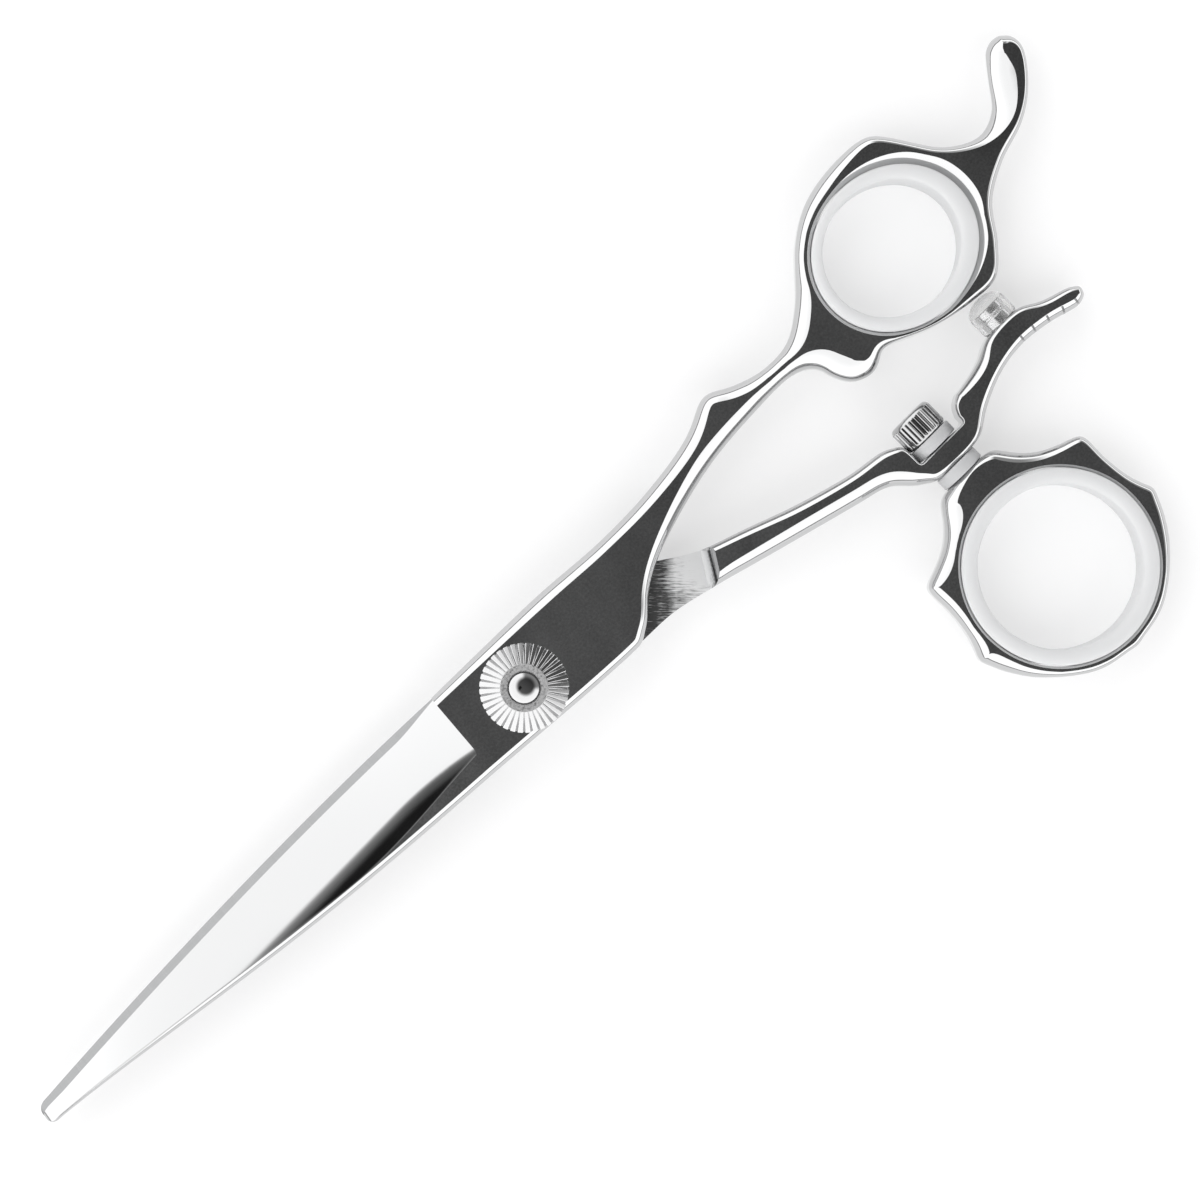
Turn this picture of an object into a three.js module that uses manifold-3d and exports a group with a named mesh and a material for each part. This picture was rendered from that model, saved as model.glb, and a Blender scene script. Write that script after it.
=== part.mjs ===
// Hair cutting shears with a swivelling thumb ring, in millimetres.
// +X runs from the pivot to the blade tips, +Y to the thumb ring, +Z out of the dial side.
// The origin is on the pivot axis, on the plane that the shears rest on.
import * as THREE from 'three';
import { mergeVertices } from 'three/addons/utils/BufferGeometryUtils.js';
import Module from 'manifold-3d';

const wasm = await Module();
wasm.setup();

// ---- heights, from the resting plane ----
const MID = 3.4;                 // plane between the blades, and centre of the rings
const BLADE_GAP = 0.1;           // clearance of each inner face to that plane
const RICASSO = 2.8;             // thickness of each half at the pivot
const HANDLE_HALF = 2.6;         // half the thickness of shanks and rings
const INNER_A = MID + BLADE_GAP;
const INNER_B = MID - BLADE_GAP;
const OUTER_A = INNER_A + RICASSO;
const OUTER_B = INNER_B - RICASSO;
const EDGE_BREAK = 0.45;         // bevel along every forged edge
const FIT = 0.1;                 // clearance between pieces that touch
const SPACING = 1.3;             // distance between outline points
const FLATNESS = 0.012;          // how far a point stands off a straight line to count
const FACETS = 28;               // sides of a turned piece
const RING_FACETS = 48;          // sides of a ring's hole
const BELOW = -1;                // heights that a through cut reaches past
const ABOVE = 9;
const BLEND_START = -22;         // along the shanks, from the ricasso's thickness to the handles'
const BLEND_END = -36;

// ---- blades ----
const HEEL = 8.4;                // where the ricasso ends and the blade begins
const TIP = 73.7;
const SHOULDER = 0.35;           // step from the ricasso down to the blade's face
const BEVEL_WIDTH = 0.9;         // honed strip beside the cutting edge
const BEVEL_RISE = 0.5;
const SPINE_CHAMFER = 0.75;
const HOLLOW = 0.3;              // depth of the hollow-ground inner face
const LAND = 0.6;                // flat strips on both sides of the hollow
const TIP_THICKNESS = 1.5;
const OVERLAP = 1.2;             // length of blade that runs on into the ricasso
const TUCK = 0.12;               // how far that length stays inside the ricasso's edges
const LAST_KNOT = 72.5;          // the edge and spine lines end here and the tip's rounding begins
const TIP_ROUNDING = 1.4;
const TIP_STATION = 73.2;
const STATION_STEP = 5.3;
const TIP_NARROWING = 0.6;       // share of the width, bevel and chamfer that the tip loses
const CHAMFER_TAPER = 0.35;      // share of the spine's chamfer lost from heel to tip
const CONVEX_SHARES = [0.3, 0.65];
const HOLLOW_FADE = 0.8;
const SPINE_WALL = 0.68;         // share of the thickness where the spine's side wall ends
const FACE_A = {
  edge: [[7, -6.6], [22, -6.95], [40, -6.86], [58, -6.27], [72.5, -5.5]],
  spine: [[7, 4.65], [20, 3.7], [35, 2.35], [50, 0.3], [65, -1.85], [72.5, -2.9]],
  ridge: [[7, 1.65], [30, 1.35], [40, 0.7], [50, -0.7], [65, -2.8], [72.5, -3.8]],
};
const FACE_B = {
  edge: [[7, 4.3], [20, 3.35], [35, 2], [50, -0.05], [65, -2.2], [72.5, -3.15]],
  spine: [[7, -5.8], [22, -6.05], [40, -5.95], [58, -5.5], [72.5, -5.15]],
  ridge: [[7, -2.8], [30, -3.4], [40, -3.5], [50, -3.7], [65, -4.1], [72.5, -4.3]],
};

// ---- finger side: corners lie between the runs, each run is smooth ----
const FINGER_RUNS = [
  [[HEEL, -6.65], [-8, -6.4], [-18, -5.72], [-26, -5.95], [-33, -7.1], [-37.2, -8.9]],
  [[-38.4, -8.95], [-41.7, -7.33], [-45, -6.4], [-49, -6.65], [-52.7, -9], [-57.7, -14],
    [-62, -16.5], [-68, -17.4], [-72.2, -16.7], [-74.5, -13.8], [-77.5, -9.7], [-81.2, -7.8],
    [-84.3, -8.7], [-87, -12], [-89.3, -14.5], [-91.6, -14.3], [-92.3, -12], [-90, -8.5],
    [-86, -5.6], [-81, -3.9], [-77, -1.5], [-74, 2.4], [-71, 5], [-67.5, 5], [-62.5, 4],
    [-57, 1.75]],
  [[-56, 1.7], [-54, 2.72], [-51.6, 2.1], [-50.2, 0.3], [-49.3, -2.2], [-47, -3.5],
    [-40, -3.6], [-33.3, -3], [-26.7, -1.5], [-20.9, 0.47], [-17.9, 2.26], [-15.3, 4.55],
    [-13, 5.9]],
  [[-12, 5.95], [-5, 5.6], [HEEL, 4.55]],
];
const FINGER_RING = { x: -65.2, y: -5.55, rx: 10.1, ry: 9.2 };
const FINGER_GRIP = { x: -64.9, y: -5.8, rx: 8.2, ry: 7.55 };
const TANG_START = -77;
const TANG_END = -92.4;
const TANG_THINNING = 0.8;

// ---- thumb side ----
const SWIVEL_X = -52.88;
const BOSS_FLOOR = 14;
const BOSS_TOP = 16.65;
const BUMPER_SEAT = 9.15;         // flat under the bumper
const THUMB_RUNS = [
  [[HEEL, -5.85], [0, -5.8], [-9, -5.5]],
  [[-11, -5.3], [-15.3, -3.9], [-18, -1.6], [-21.7, 1], [-25, 3], [-30, 4.8], [-36.7, 7.2],
    [-43.3, 9.07], [-48.3, 10], [-49.9, 11.2]],
  [[-49.9, BOSS_FLOOR], [-56.8, BOSS_FLOOR]],
  [[-56.8, 11.4], [-59.5, 11.05], [-62.5, 10.4], [-65.4, BUMPER_SEAT]],
  [[-70.2, BUMPER_SEAT], [-73.1, 10.6], [-76.5, 11.8], [-77.4, 12.8], [-76.2, 13.85], [-72, 12.95],
    [-68, 12.45], [-64, 13], [-60, 14.67], [-57.2, 16.4], [-56, BOSS_TOP]],
  [[-50, BOSS_TOP], [-48, 15.4], [-45.7, 13.3], [-42, 12.2], [-36.7, 10.8], [-30, 9],
    [-23.3, 7.17], [-18, 6], [-13.5, 5.8]],
  [[-12, 5.75], [-5, 5.3], [HEEL, 4.2]],
];

// ---- ground inner flats: the step, across the shank, where its full thickness starts ----
const STEP_A = [[-25.5, -9], [-22.9, 9]];
const STEP_B = [[-30.1, -9], [-22.2, 9]];
const STEP_RUN = 2.8;            // how far back the sloping step reaches at its top
const GRIND_DEPTH = 8;
const GRIND_AHEAD = 2;           // how far past the heel the grinding runs

// ---- pivot, along Z ----
const BOLT_RADIUS = 2;
const BOLT_FLAT = 1.55;          // half width across the keyed part
const BOLT_HEAD_RADIUS = 3.6;
const BOLT_HEAD = 1.4;
const BOLT_CHAMFER = 0.4;
const BOLT_END = 7.4;
const SCREW_RADIUS = 0.8;        // tapped hole for the screw that locks the dial
const SCREW_DEPTH = 5.6;         // where that hole ends
const KEY_REACH = 4;             // half length of the key's cutters
const HEAD_CLEARANCE = 0.15;
const BUSH_RADIUS = 2.6;
const POCKET_RADIUS = 4;         // counterbore under the dial
const POCKET_FLOOR = 5;
const RIDE_RADIUS = 4.6;
const RIDE_DEPTH = 0.3;
const RIDE_PLAY = 0.06;          // clearance over and under the ride washer
const WASHER_BORE_FIT = 0.15;    // clearance of loose rings round what they sit on
const BUSH_SEAT = 0.05;
const FLANGE_TOP = 0.3;          // the bush's flange, above the pocket's floor
const SPRING_START = 0.4;        // the pieces in the pocket, above its floor
const SPRING_THICKNESS = 0.15;
const SPRING_MARGIN = 0.35;      // its edges stand this far inside the pocket's wall
const SPRING_BORE_FIT = 0.3;
const SPRING_FACETS = 24;
const WAVE_HEIGHT = 0.1;
const WAVES = 3;
const THRUST_START = 0.8;
const THRUST_THICKNESS = 0.2;
const THRUST_MARGIN = 0.3;
const CLICK_START = 1.05;
const CLICK_THICKNESS = 0.25;
const POCKET_MARGIN = 0.2;       // gap between flanges and the pocket's wall
const BUMP_X = 3.1;
const BUMP = { top: 0.25, base: 0.4, height: 0.25, lift: 0.3, facets: 10 };
const DIAL_RADIUS = 5.1;
const DIAL_BASE = OUTER_A + 0.15;
const DIAL_RIM = 0.55;
const DIAL_TOP = 8;
const DIAL_FACE_RADIUS = 2.75;
const DIAL_TEETH = 38;
const DIAL_TOOTH = 0.22;
const DIAL_FACE_TOOTH = 0.02;    // what is left of the flutes where they meet the flat face
const DIAL_BORE_START = 5;
const SEAT_DEPTH = 0.52;         // seat of the lock screw's button in the dial's face
const RACE = { inner: 2.6, outer: 3.6, depth: 0.3 };
const BUTTON_RADIUS = 1.75;
const BUTTON_RIM = 7.6;          // underside of the button
const BUTTON_SHANK = 0.7;
const BUTTON_SHANK_END = 5.8;
const BUTTON_CROWN = [[BUTTON_RADIUS, 7.95], [1.5, 8.25], [1, 8.45], [0, 8.55]];

// ---- swivel and bumper, along Y ----
const STUD_RADIUS = 1.2;
const SWIVEL_BUSH_RADIUS = 1.7;
const WASHER_RADIUS = 2.85;
const KNOB_RADIUS = 2.8;
const KNOB_START = 9;
const KNOB_END = 12.35;
const NECK = 18.3;               // where the thumb ring's neck begins
const BUMPER_X = -68.05;
const BUMPER_RADIUS = 2.4;
const BUMPER_TIP = 5.25;
const BUMPER_PIN_RADIUS = 1.1;
const BUMPER_PIN_END = 10.75;
const PIN_HOLE = { radius: 1.2, start: 8.15, end: 10.85 };
const BOSS_BORE = [12, 18];      // where the swivel bush's bore starts and ends
const NECK_HOLE = [16.3, 20.6];  // where the stud's hole in the ring's neck starts and ends
const STUD_START = 9.8;
const STUD_END = 20.4;
const END_PLAY = 0.05;           // the swivel bush stands inside its boss by this much at each end
const KNOB_CHAMFER = 0.5;
const KNOB_RIM = 0.2;
const KNOB_FLOOR = 0.7;          // thickness of the knob's closed end
const BUMPER_PROFILE = [
  [0, BUMPER_TIP], [1, 5.35], [1.8, 5.75], [2.2, 6.25], [BUMPER_RADIUS, 7.05], [BUMPER_RADIUS, 8.7],
  [2.1, 9.05], [1.8, 9.05], [1.8, 8.5], [1, 8.3], [1, 7.4], [1.65, 7.1], [1.65, 6.4], [0, 6.4],
];
const BUMPER_STUD_PROFILE = [
  [0, 6.5], [1.55, 6.5], [1.55, 7], [0.9, 7.3], [0.9, 8.4], [1.7, 8.6], [1.7, 9.05],
  [BUMPER_PIN_RADIUS, 9.05], [BUMPER_PIN_RADIUS, BUMPER_PIN_END], [0, BUMPER_PIN_END],
];

// ---- thumb ring: half its outline as distance from the swivel axis and height ----
const THUMB_HOLE = { x: SWIVEL_X, y: 33.4, rx: 11.4, ry: 11.4 };
const THUMB_GRIP = { x: SWIVEL_X, y: 33.4, rx: 9.45, ry: 9.45 };
const RING_RUNS = [
  [[2.9, NECK], [4.3, 18.8], [5.4, 20.3], [7.6, 22.4], [12.2, 24.5]],
  [[12.5, 25.2], [12.5, 28.7], [13, 32], [13.95, 34.5]],
  [[13.95, 34.9], [12.7, 37.7], [10.4, 40.9], [5.2, 44.9], [0, 46.07]],
];

// ---- silicone inserts: share of the way from the opening out to the metal, and height ----
const INSERT_SECTION = [
  [0, 0.9], [0.55, 0], [1, 0.35], [1, 2 * MID - 0.35], [0.55, 2 * MID], [0, 2 * MID - 0.9],
];

// ---- looks ----
const steel = { color: 0xc9cbcd, roughness: 0.12, metalness: 1 };
const darkSteel = { color: 0xa9abad, roughness: 0.25, metalness: 1 };
const silicone = { color: 0xe4e5e6, roughness: 0.55, metalness: 0 };
const nylon = { color: 0xdcdddf, roughness: 0.6, metalness: 0 };
const brass = { color: 0xb9a060, roughness: 0.35, metalness: 1 };

// ---- helpers ----
const WELD = 1e-4;               // points nearer than this are one point
const HALVINGS = 30;

function smoothRun(knots) {
  const curve = new THREE.CatmullRomCurve3(knots.map(([x, y]) => new THREE.Vector3(x, y, 0)));
  const count = Math.max(1, Math.round(curve.getLength() / SPACING));
  return curve.getSpacedPoints(count).map((p) => new THREE.Vector2(p.x, p.y));
}

// Leaves out each point that lies almost on the line between its neighbours.
function thinned(points) {
  const kept = [points[0]];
  for (let i = 1; i + 1 < points.length; i += 1) {
    const from = kept[kept.length - 1];
    const chord = points[i + 1].clone().sub(from);
    const off = Math.abs(chord.cross(points[i].clone().sub(from))) / chord.length();
    if (off > FLATNESS) kept.push(points[i]);
  }
  kept.push(points[points.length - 1]);
  return kept;
}

function outline(runs) {
  return runs.flatMap((run) => thinned(smoothRun(run)));
}

function mirroredRing(runs, axisX) {
  const half = outline(runs);
  const left = half.map((p) => new THREE.Vector2(axisX - p.x, p.y));
  const right = half.slice(0, -1).reverse().map((p) => new THREE.Vector2(axisX + p.x, p.y));
  return left.concat(right);
}

function ellipse(ring, count) {
  return Array.from({ length: count }, (_, i) => {
    const turn = (2 * Math.PI * i) / count;
    return new THREE.Vector2(ring.x + ring.rx * Math.cos(turn), ring.y + ring.ry * Math.sin(turn));
  });
}

function rectangle(x0, y0, x1, y1) {
  return [[x0, y0], [x1, y0], [x1, y1], [x0, y1]].map(([x, y]) => new THREE.Vector2(x, y));
}

// A line given by knots, read at x.
function along(knots, x) {
  const last = knots.length - 1;
  const curve = new THREE.CatmullRomCurve3(knots.map(([kx, ky]) => new THREE.Vector3(kx, ky, 0)));
  if (x >= knots[last][0]) return knots[last][1];
  let low = 0;
  let high = 1;
  for (let i = 0; i < HALVINGS; i += 1) {
    const middle = (low + high) / 2;
    if (curve.getPoint(middle).x < x) low = middle;
    else high = middle;
  }
  return curve.getPoint(low).y;
}

function toSolid(geometry) {
  const bare = geometry.clone();
  bare.deleteAttribute('normal');
  bare.deleteAttribute('uv');
  const merged = mergeVertices(bare, WELD);
  return new wasm.Manifold(new wasm.Mesh({
    numProp: 3,
    vertProperties: new Float32Array(merged.attributes.position.array),
    triVerts: new Uint32Array(merged.index.array),
  }));
}

function toGeometry(solid) {
  const { vertProperties, triVerts } = solid.getMesh();
  const geometry = new THREE.BufferGeometry();
  geometry.setAttribute('position', new THREE.BufferAttribute(new Float32Array(vertProperties), 3));
  geometry.setIndex(new THREE.BufferAttribute(new Uint32Array(triVerts), 1));
  return geometry;
}

function cut(solid, ...tools) {
  return tools.reduce((left, tool) => left.subtract(tool), solid);
}

// A flat forging with broken edges, between two heights that may change along X.
function forging(points, bottom, top) {
  const shape = new THREE.Shape(points);
  const geometry = new THREE.ExtrudeGeometry(shape, {
    depth: 1, steps: 1, curveSegments: 1, bevelEnabled: true, bevelSegments: 1,
    bevelThickness: EDGE_BREAK, bevelSize: EDGE_BREAK, bevelOffset: -EDGE_BREAK,
  });
  const position = geometry.attributes.position;
  for (let i = 0; i < position.count; i += 1) {
    const x = position.getX(i);
    const z = position.getZ(i);
    const height = z < 0.5 ? bottom(x) + EDGE_BREAK + z : top(x) - EDGE_BREAK + z - 1;
    position.setZ(i, height);
  }
  return toSolid(geometry);
}

// A prism over a plan of points, without broken edges.
function prism(plan, bottom, top) {
  const shape = new THREE.Shape(plan);
  const geometry = new THREE.ExtrudeGeometry(shape, { depth: top - bottom, bevelEnabled: false });
  return toSolid(geometry.translate(0, 0, bottom));
}

// A turned piece from its profile of radius and height, standing on Z at the origin.
function turned(profile, facets = FACETS) {
  const points = profile.map(([radius, height]) => new THREE.Vector2(radius, height));
  const geometry = new THREE.LatheGeometry(points, facets);
  return toSolid(geometry.rotateX(Math.PI / 2));
}

// The same, turned about a line along Y through x, with heights read along Y.
function turnedAlongY(profile, x) {
  const points = profile.map(([radius, height]) => new THREE.Vector2(radius, height));
  const geometry = new THREE.LatheGeometry(points, FACETS);
  return toSolid(geometry.translate(x, 0, MID));
}

function rod(radius, start, end) {
  return [[0, start], [radius, start], [radius, end], [0, end]];
}

function sleeve(inner, outer, start, end) {
  return [[inner, start], [outer, start], [outer, end], [inner, end], [inner, start]];
}

function smoothstep(from, to, x) {
  const t = Math.min(1, Math.max(0, (x - from) / (to - from)));
  return t * t * (3 - 2 * t);
}

// ---- blades ----
// One section of a blade, from the cutting edge over the face to the spine and back inside.
function bladeSection(face, x, side) {
  const tipShare = smoothstep(TIP - TIP_ROUNDING, TIP, x);
  const kept = 1 - TIP_NARROWING * tipShare;
  const wide = Math.min(x, LAST_KNOT);
  const middle = (along(face.edge, wide) + along(face.spine, wide)) / 2;
  const narrow = (y) => THREE.MathUtils.lerp(middle, y, kept);
  const away = Math.sign(middle - along(face.edge, wide));
  const tuck = x > HEEL ? 0 : away * TUCK;
  const edge = narrow(along(face.edge, wide)) + tuck;
  const spine = narrow(along(face.spine, wide)) - tuck;
  const ridge = narrow(along(face.ridge, wide));
  const taper = Math.max(0, (x - HEEL) / (TIP - HEEL));
  const thickness = THREE.MathUtils.lerp(RICASSO - SHOULDER, TIP_THICKNESS, taper);
  const bevel = edge + away * BEVEL_WIDTH * kept;
  const chamfer = spine - away * SPINE_CHAMFER * kept * (1 - CHAMFER_TAPER * taper);
  const convex = CONVEX_SHARES.map((share) => [
    THREE.MathUtils.lerp(bevel, ridge, share),
    THREE.MathUtils.lerp(BEVEL_RISE, thickness, Math.sin((share * Math.PI) / 2)),
  ]);
  const hollow = HOLLOW * (1 - HOLLOW_FADE * tipShare);
  const land = away * Math.min(LAND, Math.abs(spine - edge) / 4);
  const points = [
    [edge, 0], [bevel, BEVEL_RISE], ...convex, [ridge, thickness], [chamfer, thickness],
    [spine, thickness * SPINE_WALL], [spine, 0], [spine - land, 0],
    [THREE.MathUtils.lerp(spine, edge, 0.5), hollow], [edge + land, 0],
  ];
  return points.map(([y, rise]) => new THREE.Vector3(x, y, MID + side * (BLADE_GAP + rise)));
}

function blade(face, side) {
  const stations = [HEEL - OVERLAP];
  for (let x = HEEL; x < LAST_KNOT - 1; x += STATION_STEP) stations.push(x);
  stations.push(LAST_KNOT, TIP_STATION, TIP - 0.05);
  const sections = stations.map((x) => bladeSection(face, x, side));
  const count = sections[0].length;
  const position = sections.flat().flatMap((p) => [p.x, p.y, p.z]);
  const index = [];
  for (let s = 0; s + 1 < sections.length; s += 1) {
    for (let k = 0; k < count; k += 1) {
      const a = s * count + k;
      const b = s * count + ((k + 1) % count);
      index.push(a, b, a + count, b, b + count, a + count);
    }
  }
  const capPlan = sections[0].map((p) => new THREE.Vector2(p.y, p.z));
  const last = (sections.length - 1) * count;
  THREE.ShapeUtils.triangulateShape(capPlan, []).forEach(([a, b, c]) => {
    const inOrder = THREE.ShapeUtils.isClockWise([capPlan[a], capPlan[b], capPlan[c]])
      === THREE.ShapeUtils.isClockWise(capPlan);
    const [second, third] = inOrder ? [b, c] : [c, b];
    index.push(a, third, second, last + a, last + second, last + third);
  });
  const geometry = new THREE.BufferGeometry();
  geometry.setAttribute('position', new THREE.Float32BufferAttribute(position, 3));
  geometry.setIndex(index);
  return facingOut(geometry);
}

// Turns a closed mesh's faces outward when its signed volume is negative.
function facingOut(geometry) {
  const p = geometry.attributes.position;
  const index = geometry.index.array;
  const [a, b, c] = [new THREE.Vector3(), new THREE.Vector3(), new THREE.Vector3()];
  let volume = 0;
  for (let i = 0; i < index.length; i += 3) {
    a.fromBufferAttribute(p, index[i]);
    b.fromBufferAttribute(p, index[i + 1]);
    c.fromBufferAttribute(p, index[i + 2]);
    volume += a.dot(b.cross(c));
  }
  if (volume < 0) {
    for (let i = 0; i < index.length; i += 3) {
      [index[i + 1], index[i + 2]] = [index[i + 2], index[i + 1]];
    }
  }
  return toSolid(geometry);
}

// The wedge that is ground away over or under a half's inner face, up to its sloping step.
function groundFlat(step, side) {
  const [[x0, y0], [x1, y1]] = step;
  const end = HEEL + GRIND_AHEAD;
  const face = MID - side * BLADE_GAP;
  const far = MID + side * GRIND_DEPTH;
  const run = (STEP_RUN * GRIND_DEPTH) / HANDLE_HALF;
  const corners = [
    [x0, y0, face], [x1, y1, face], [end, y1, face], [end, y0, face],
    [x0 - run, y0, far], [x1 - run, y1, far], [end, y1, far], [end, y0, far],
  ];
  const quads = [[0, 1, 2, 3], [7, 6, 5, 4], [0, 4, 5, 1], [1, 5, 6, 2], [2, 6, 7, 3], [3, 7, 4, 0]];
  const geometry = new THREE.BufferGeometry();
  geometry.setAttribute('position', new THREE.Float32BufferAttribute(corners.flat(), 3));
  geometry.setIndex(quads.flatMap(([a, b, c, d]) => [a, b, c, a, c, d]));
  return facingOut(geometry);
}

function fingerBlade() {
  const tang = (x) => TANG_THINNING * smoothstep(TANG_START, TANG_END, x);
  const bottom = (x) => MID - HANDLE_HALF + tang(x);
  const blend = (x) => smoothstep(BLEND_START, BLEND_END, x);
  const top = (x) => THREE.MathUtils.lerp(OUTER_A, MID + HANDLE_HALF, blend(x)) - tang(x);
  const handle = forging(outline(FINGER_RUNS), bottom, top);
  const ringHole = prism(ellipse(FINGER_RING, RING_FACETS), BELOW, ABOVE);
  const pivotHole = turned(rod(BUSH_RADIUS + FIT, 0, ABOVE));
  const pocket = turned(rod(POCKET_RADIUS, POCKET_FLOOR, ABOVE));
  const rideRecess = turned(rod(RIDE_RADIUS, 0, INNER_A + RIDE_DEPTH));
  const ground = cut(handle, groundFlat(STEP_A, -1));
  return cut(ground.add(blade(FACE_A, 1)), pivotHole, pocket, rideRecess, ringHole);
}

function thumbBlade() {
  const blend = (x) => smoothstep(BLEND_START, BLEND_END, x);
  const bottom = (x) => THREE.MathUtils.lerp(OUTER_B, MID - HANDLE_HALF, blend(x));
  const top = () => MID + HANDLE_HALF;
  const handle = forging(outline(THUMB_RUNS), bottom, top);
  const halfKey = BOLT_FLAT + FIT;
  const keyHole = turned(rod(BOLT_RADIUS + FIT, BELOW, ABOVE)).intersect(
    prism(rectangle(-KEY_REACH, -halfKey, KEY_REACH, halfKey), BELOW, ABOVE),
  );
  const headRecess = turned(rod(BOLT_HEAD_RADIUS + HEAD_CLEARANCE, BELOW, BOLT_HEAD + FIT));
  const bossBore = turnedAlongY(rod(SWIVEL_BUSH_RADIUS + FIT, ...BOSS_BORE), SWIVEL_X);
  const studHole = turnedAlongY(rod(PIN_HOLE.radius, PIN_HOLE.start, PIN_HOLE.end), BUMPER_X);
  const ground = cut(handle, groundFlat(STEP_B, 1));
  return cut(ground.add(blade(FACE_B, -1)), keyHole, headRecess, bossBore, studHole);
}

// ---- thumb ring and the two silicone inserts ----
function thumbRing() {
  const points = mirroredRing(RING_RUNS, SWIVEL_X);
  const ring = forging(points, () => MID - HANDLE_HALF, () => MID + HANDLE_HALF);
  const hole = prism(ellipse(THUMB_HOLE, RING_FACETS), BELOW, ABOVE);
  return cut(ring, hole, turnedAlongY(rod(STUD_RADIUS + FIT, ...NECK_HOLE), SWIVEL_X));
}

// A soft ring with rounded lips between a metal hole and a smaller opening.
function insert(hole, grip) {
  const facets = RING_FACETS;
  const position = [];
  const index = [];
  for (let i = 0; i < facets; i += 1) {
    const turn = (2 * Math.PI * i) / facets;
    const inner = [grip.x + grip.rx * Math.cos(turn), grip.y + grip.ry * Math.sin(turn)];
    const outer = [
      hole.x + (hole.rx - FIT) * Math.cos(turn),
      hole.y + (hole.ry - FIT) * Math.sin(turn),
    ];
    INSERT_SECTION.forEach(([share, z]) => {
      position.push(
        THREE.MathUtils.lerp(inner[0], outer[0], share),
        THREE.MathUtils.lerp(inner[1], outer[1], share),
        z,
      );
    });
  }
  const count = INSERT_SECTION.length;
  for (let i = 0; i < facets; i += 1) {
    for (let k = 0; k < count; k += 1) {
      const a = i * count + k;
      const b = i * count + ((k + 1) % count);
      const next = ((i + 1) % facets) * count;
      index.push(a, b, next + k, b, next + ((k + 1) % count), next + k);
    }
  }
  const geometry = new THREE.BufferGeometry();
  geometry.setAttribute('position', new THREE.Float32BufferAttribute(position, 3));
  geometry.setIndex(index);
  return facingOut(geometry);
}

// ---- pivot ----
function pivotBolt() {
  const body = turned([
    [0, 0], [BOLT_HEAD_RADIUS - BOLT_CHAMFER, 0], [BOLT_HEAD_RADIUS, BOLT_CHAMFER],
    [BOLT_HEAD_RADIUS, BOLT_HEAD], [BOLT_RADIUS, BOLT_HEAD], [BOLT_RADIUS, BOLT_END],
    [SCREW_RADIUS, BOLT_END], [SCREW_RADIUS, SCREW_DEPTH], [0, SCREW_DEPTH],
  ]);
  const side = (sign) => prism(
    rectangle(-KEY_REACH, sign * BOLT_FLAT, KEY_REACH, sign * KEY_REACH), BOLT_HEAD, INNER_B,
  );
  return cut(body, side(1), side(-1));
}

function pivotBush() {
  const bore = BOLT_RADIUS + FIT;
  const flange = POCKET_RADIUS - POCKET_MARGIN;
  const under = POCKET_FLOOR + BUSH_SEAT;
  const over = POCKET_FLOOR + FLANGE_TOP;
  return turned([
    [bore, INNER_B + FIT], [BUSH_RADIUS, INNER_B + FIT], [BUSH_RADIUS, under], [flange, under],
    [flange, over], [bore, over], [bore, INNER_B + FIT],
  ]);
}

function rideWasher() {
  const start = INNER_B + RIDE_PLAY;
  const end = INNER_A + RIDE_DEPTH - RIDE_PLAY;
  return turned(sleeve(BUSH_RADIUS + WASHER_BORE_FIT, RIDE_RADIUS - FIT, start, end));
}

// A thin ring pressed into waves.
function waveSpring() {
  const bore = BOLT_RADIUS + SPRING_BORE_FIT;
  const section = sleeve(bore, POCKET_RADIUS - SPRING_MARGIN, 0, SPRING_THICKNESS);
  const points = section.map(([radius, height]) => new THREE.Vector2(radius, height));
  const geometry = new THREE.LatheGeometry(points, SPRING_FACETS).rotateX(Math.PI / 2);
  const position = geometry.attributes.position;
  for (let i = 0; i < position.count; i += 1) {
    const turn = Math.atan2(position.getY(i), position.getX(i));
    const wave = WAVE_HEIGHT * (1 + Math.cos(WAVES * turn));
    position.setZ(i, position.getZ(i) + wave + POCKET_FLOOR + SPRING_START);
  }
  return toSolid(geometry);
}

function thrustWasher() {
  const start = POCKET_FLOOR + THRUST_START;
  const outer = POCKET_RADIUS - THRUST_MARGIN;
  return turned(sleeve(BOLT_RADIUS + WASHER_BORE_FIT, outer, start, start + THRUST_THICKNESS));
}

// A keyed plate with a raised bump on each side, which clicks in the dial's underside.
function clickPlate() {
  const start = POCKET_FLOOR + CLICK_START;
  const outer = POCKET_RADIUS - POCKET_MARGIN;
  const plate = turned(sleeve(BOLT_RADIUS + FIT, outer, start, start + CLICK_THICKNESS));
  const bump = (x) => toSolid(
    new THREE.CylinderGeometry(BUMP.top, BUMP.base, BUMP.height, BUMP.facets)
      .rotateX(Math.PI / 2).translate(x, 0, start + BUMP.lift),
  );
  return plate.add(bump(BUMP_X)).add(bump(-BUMP_X));
}

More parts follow.
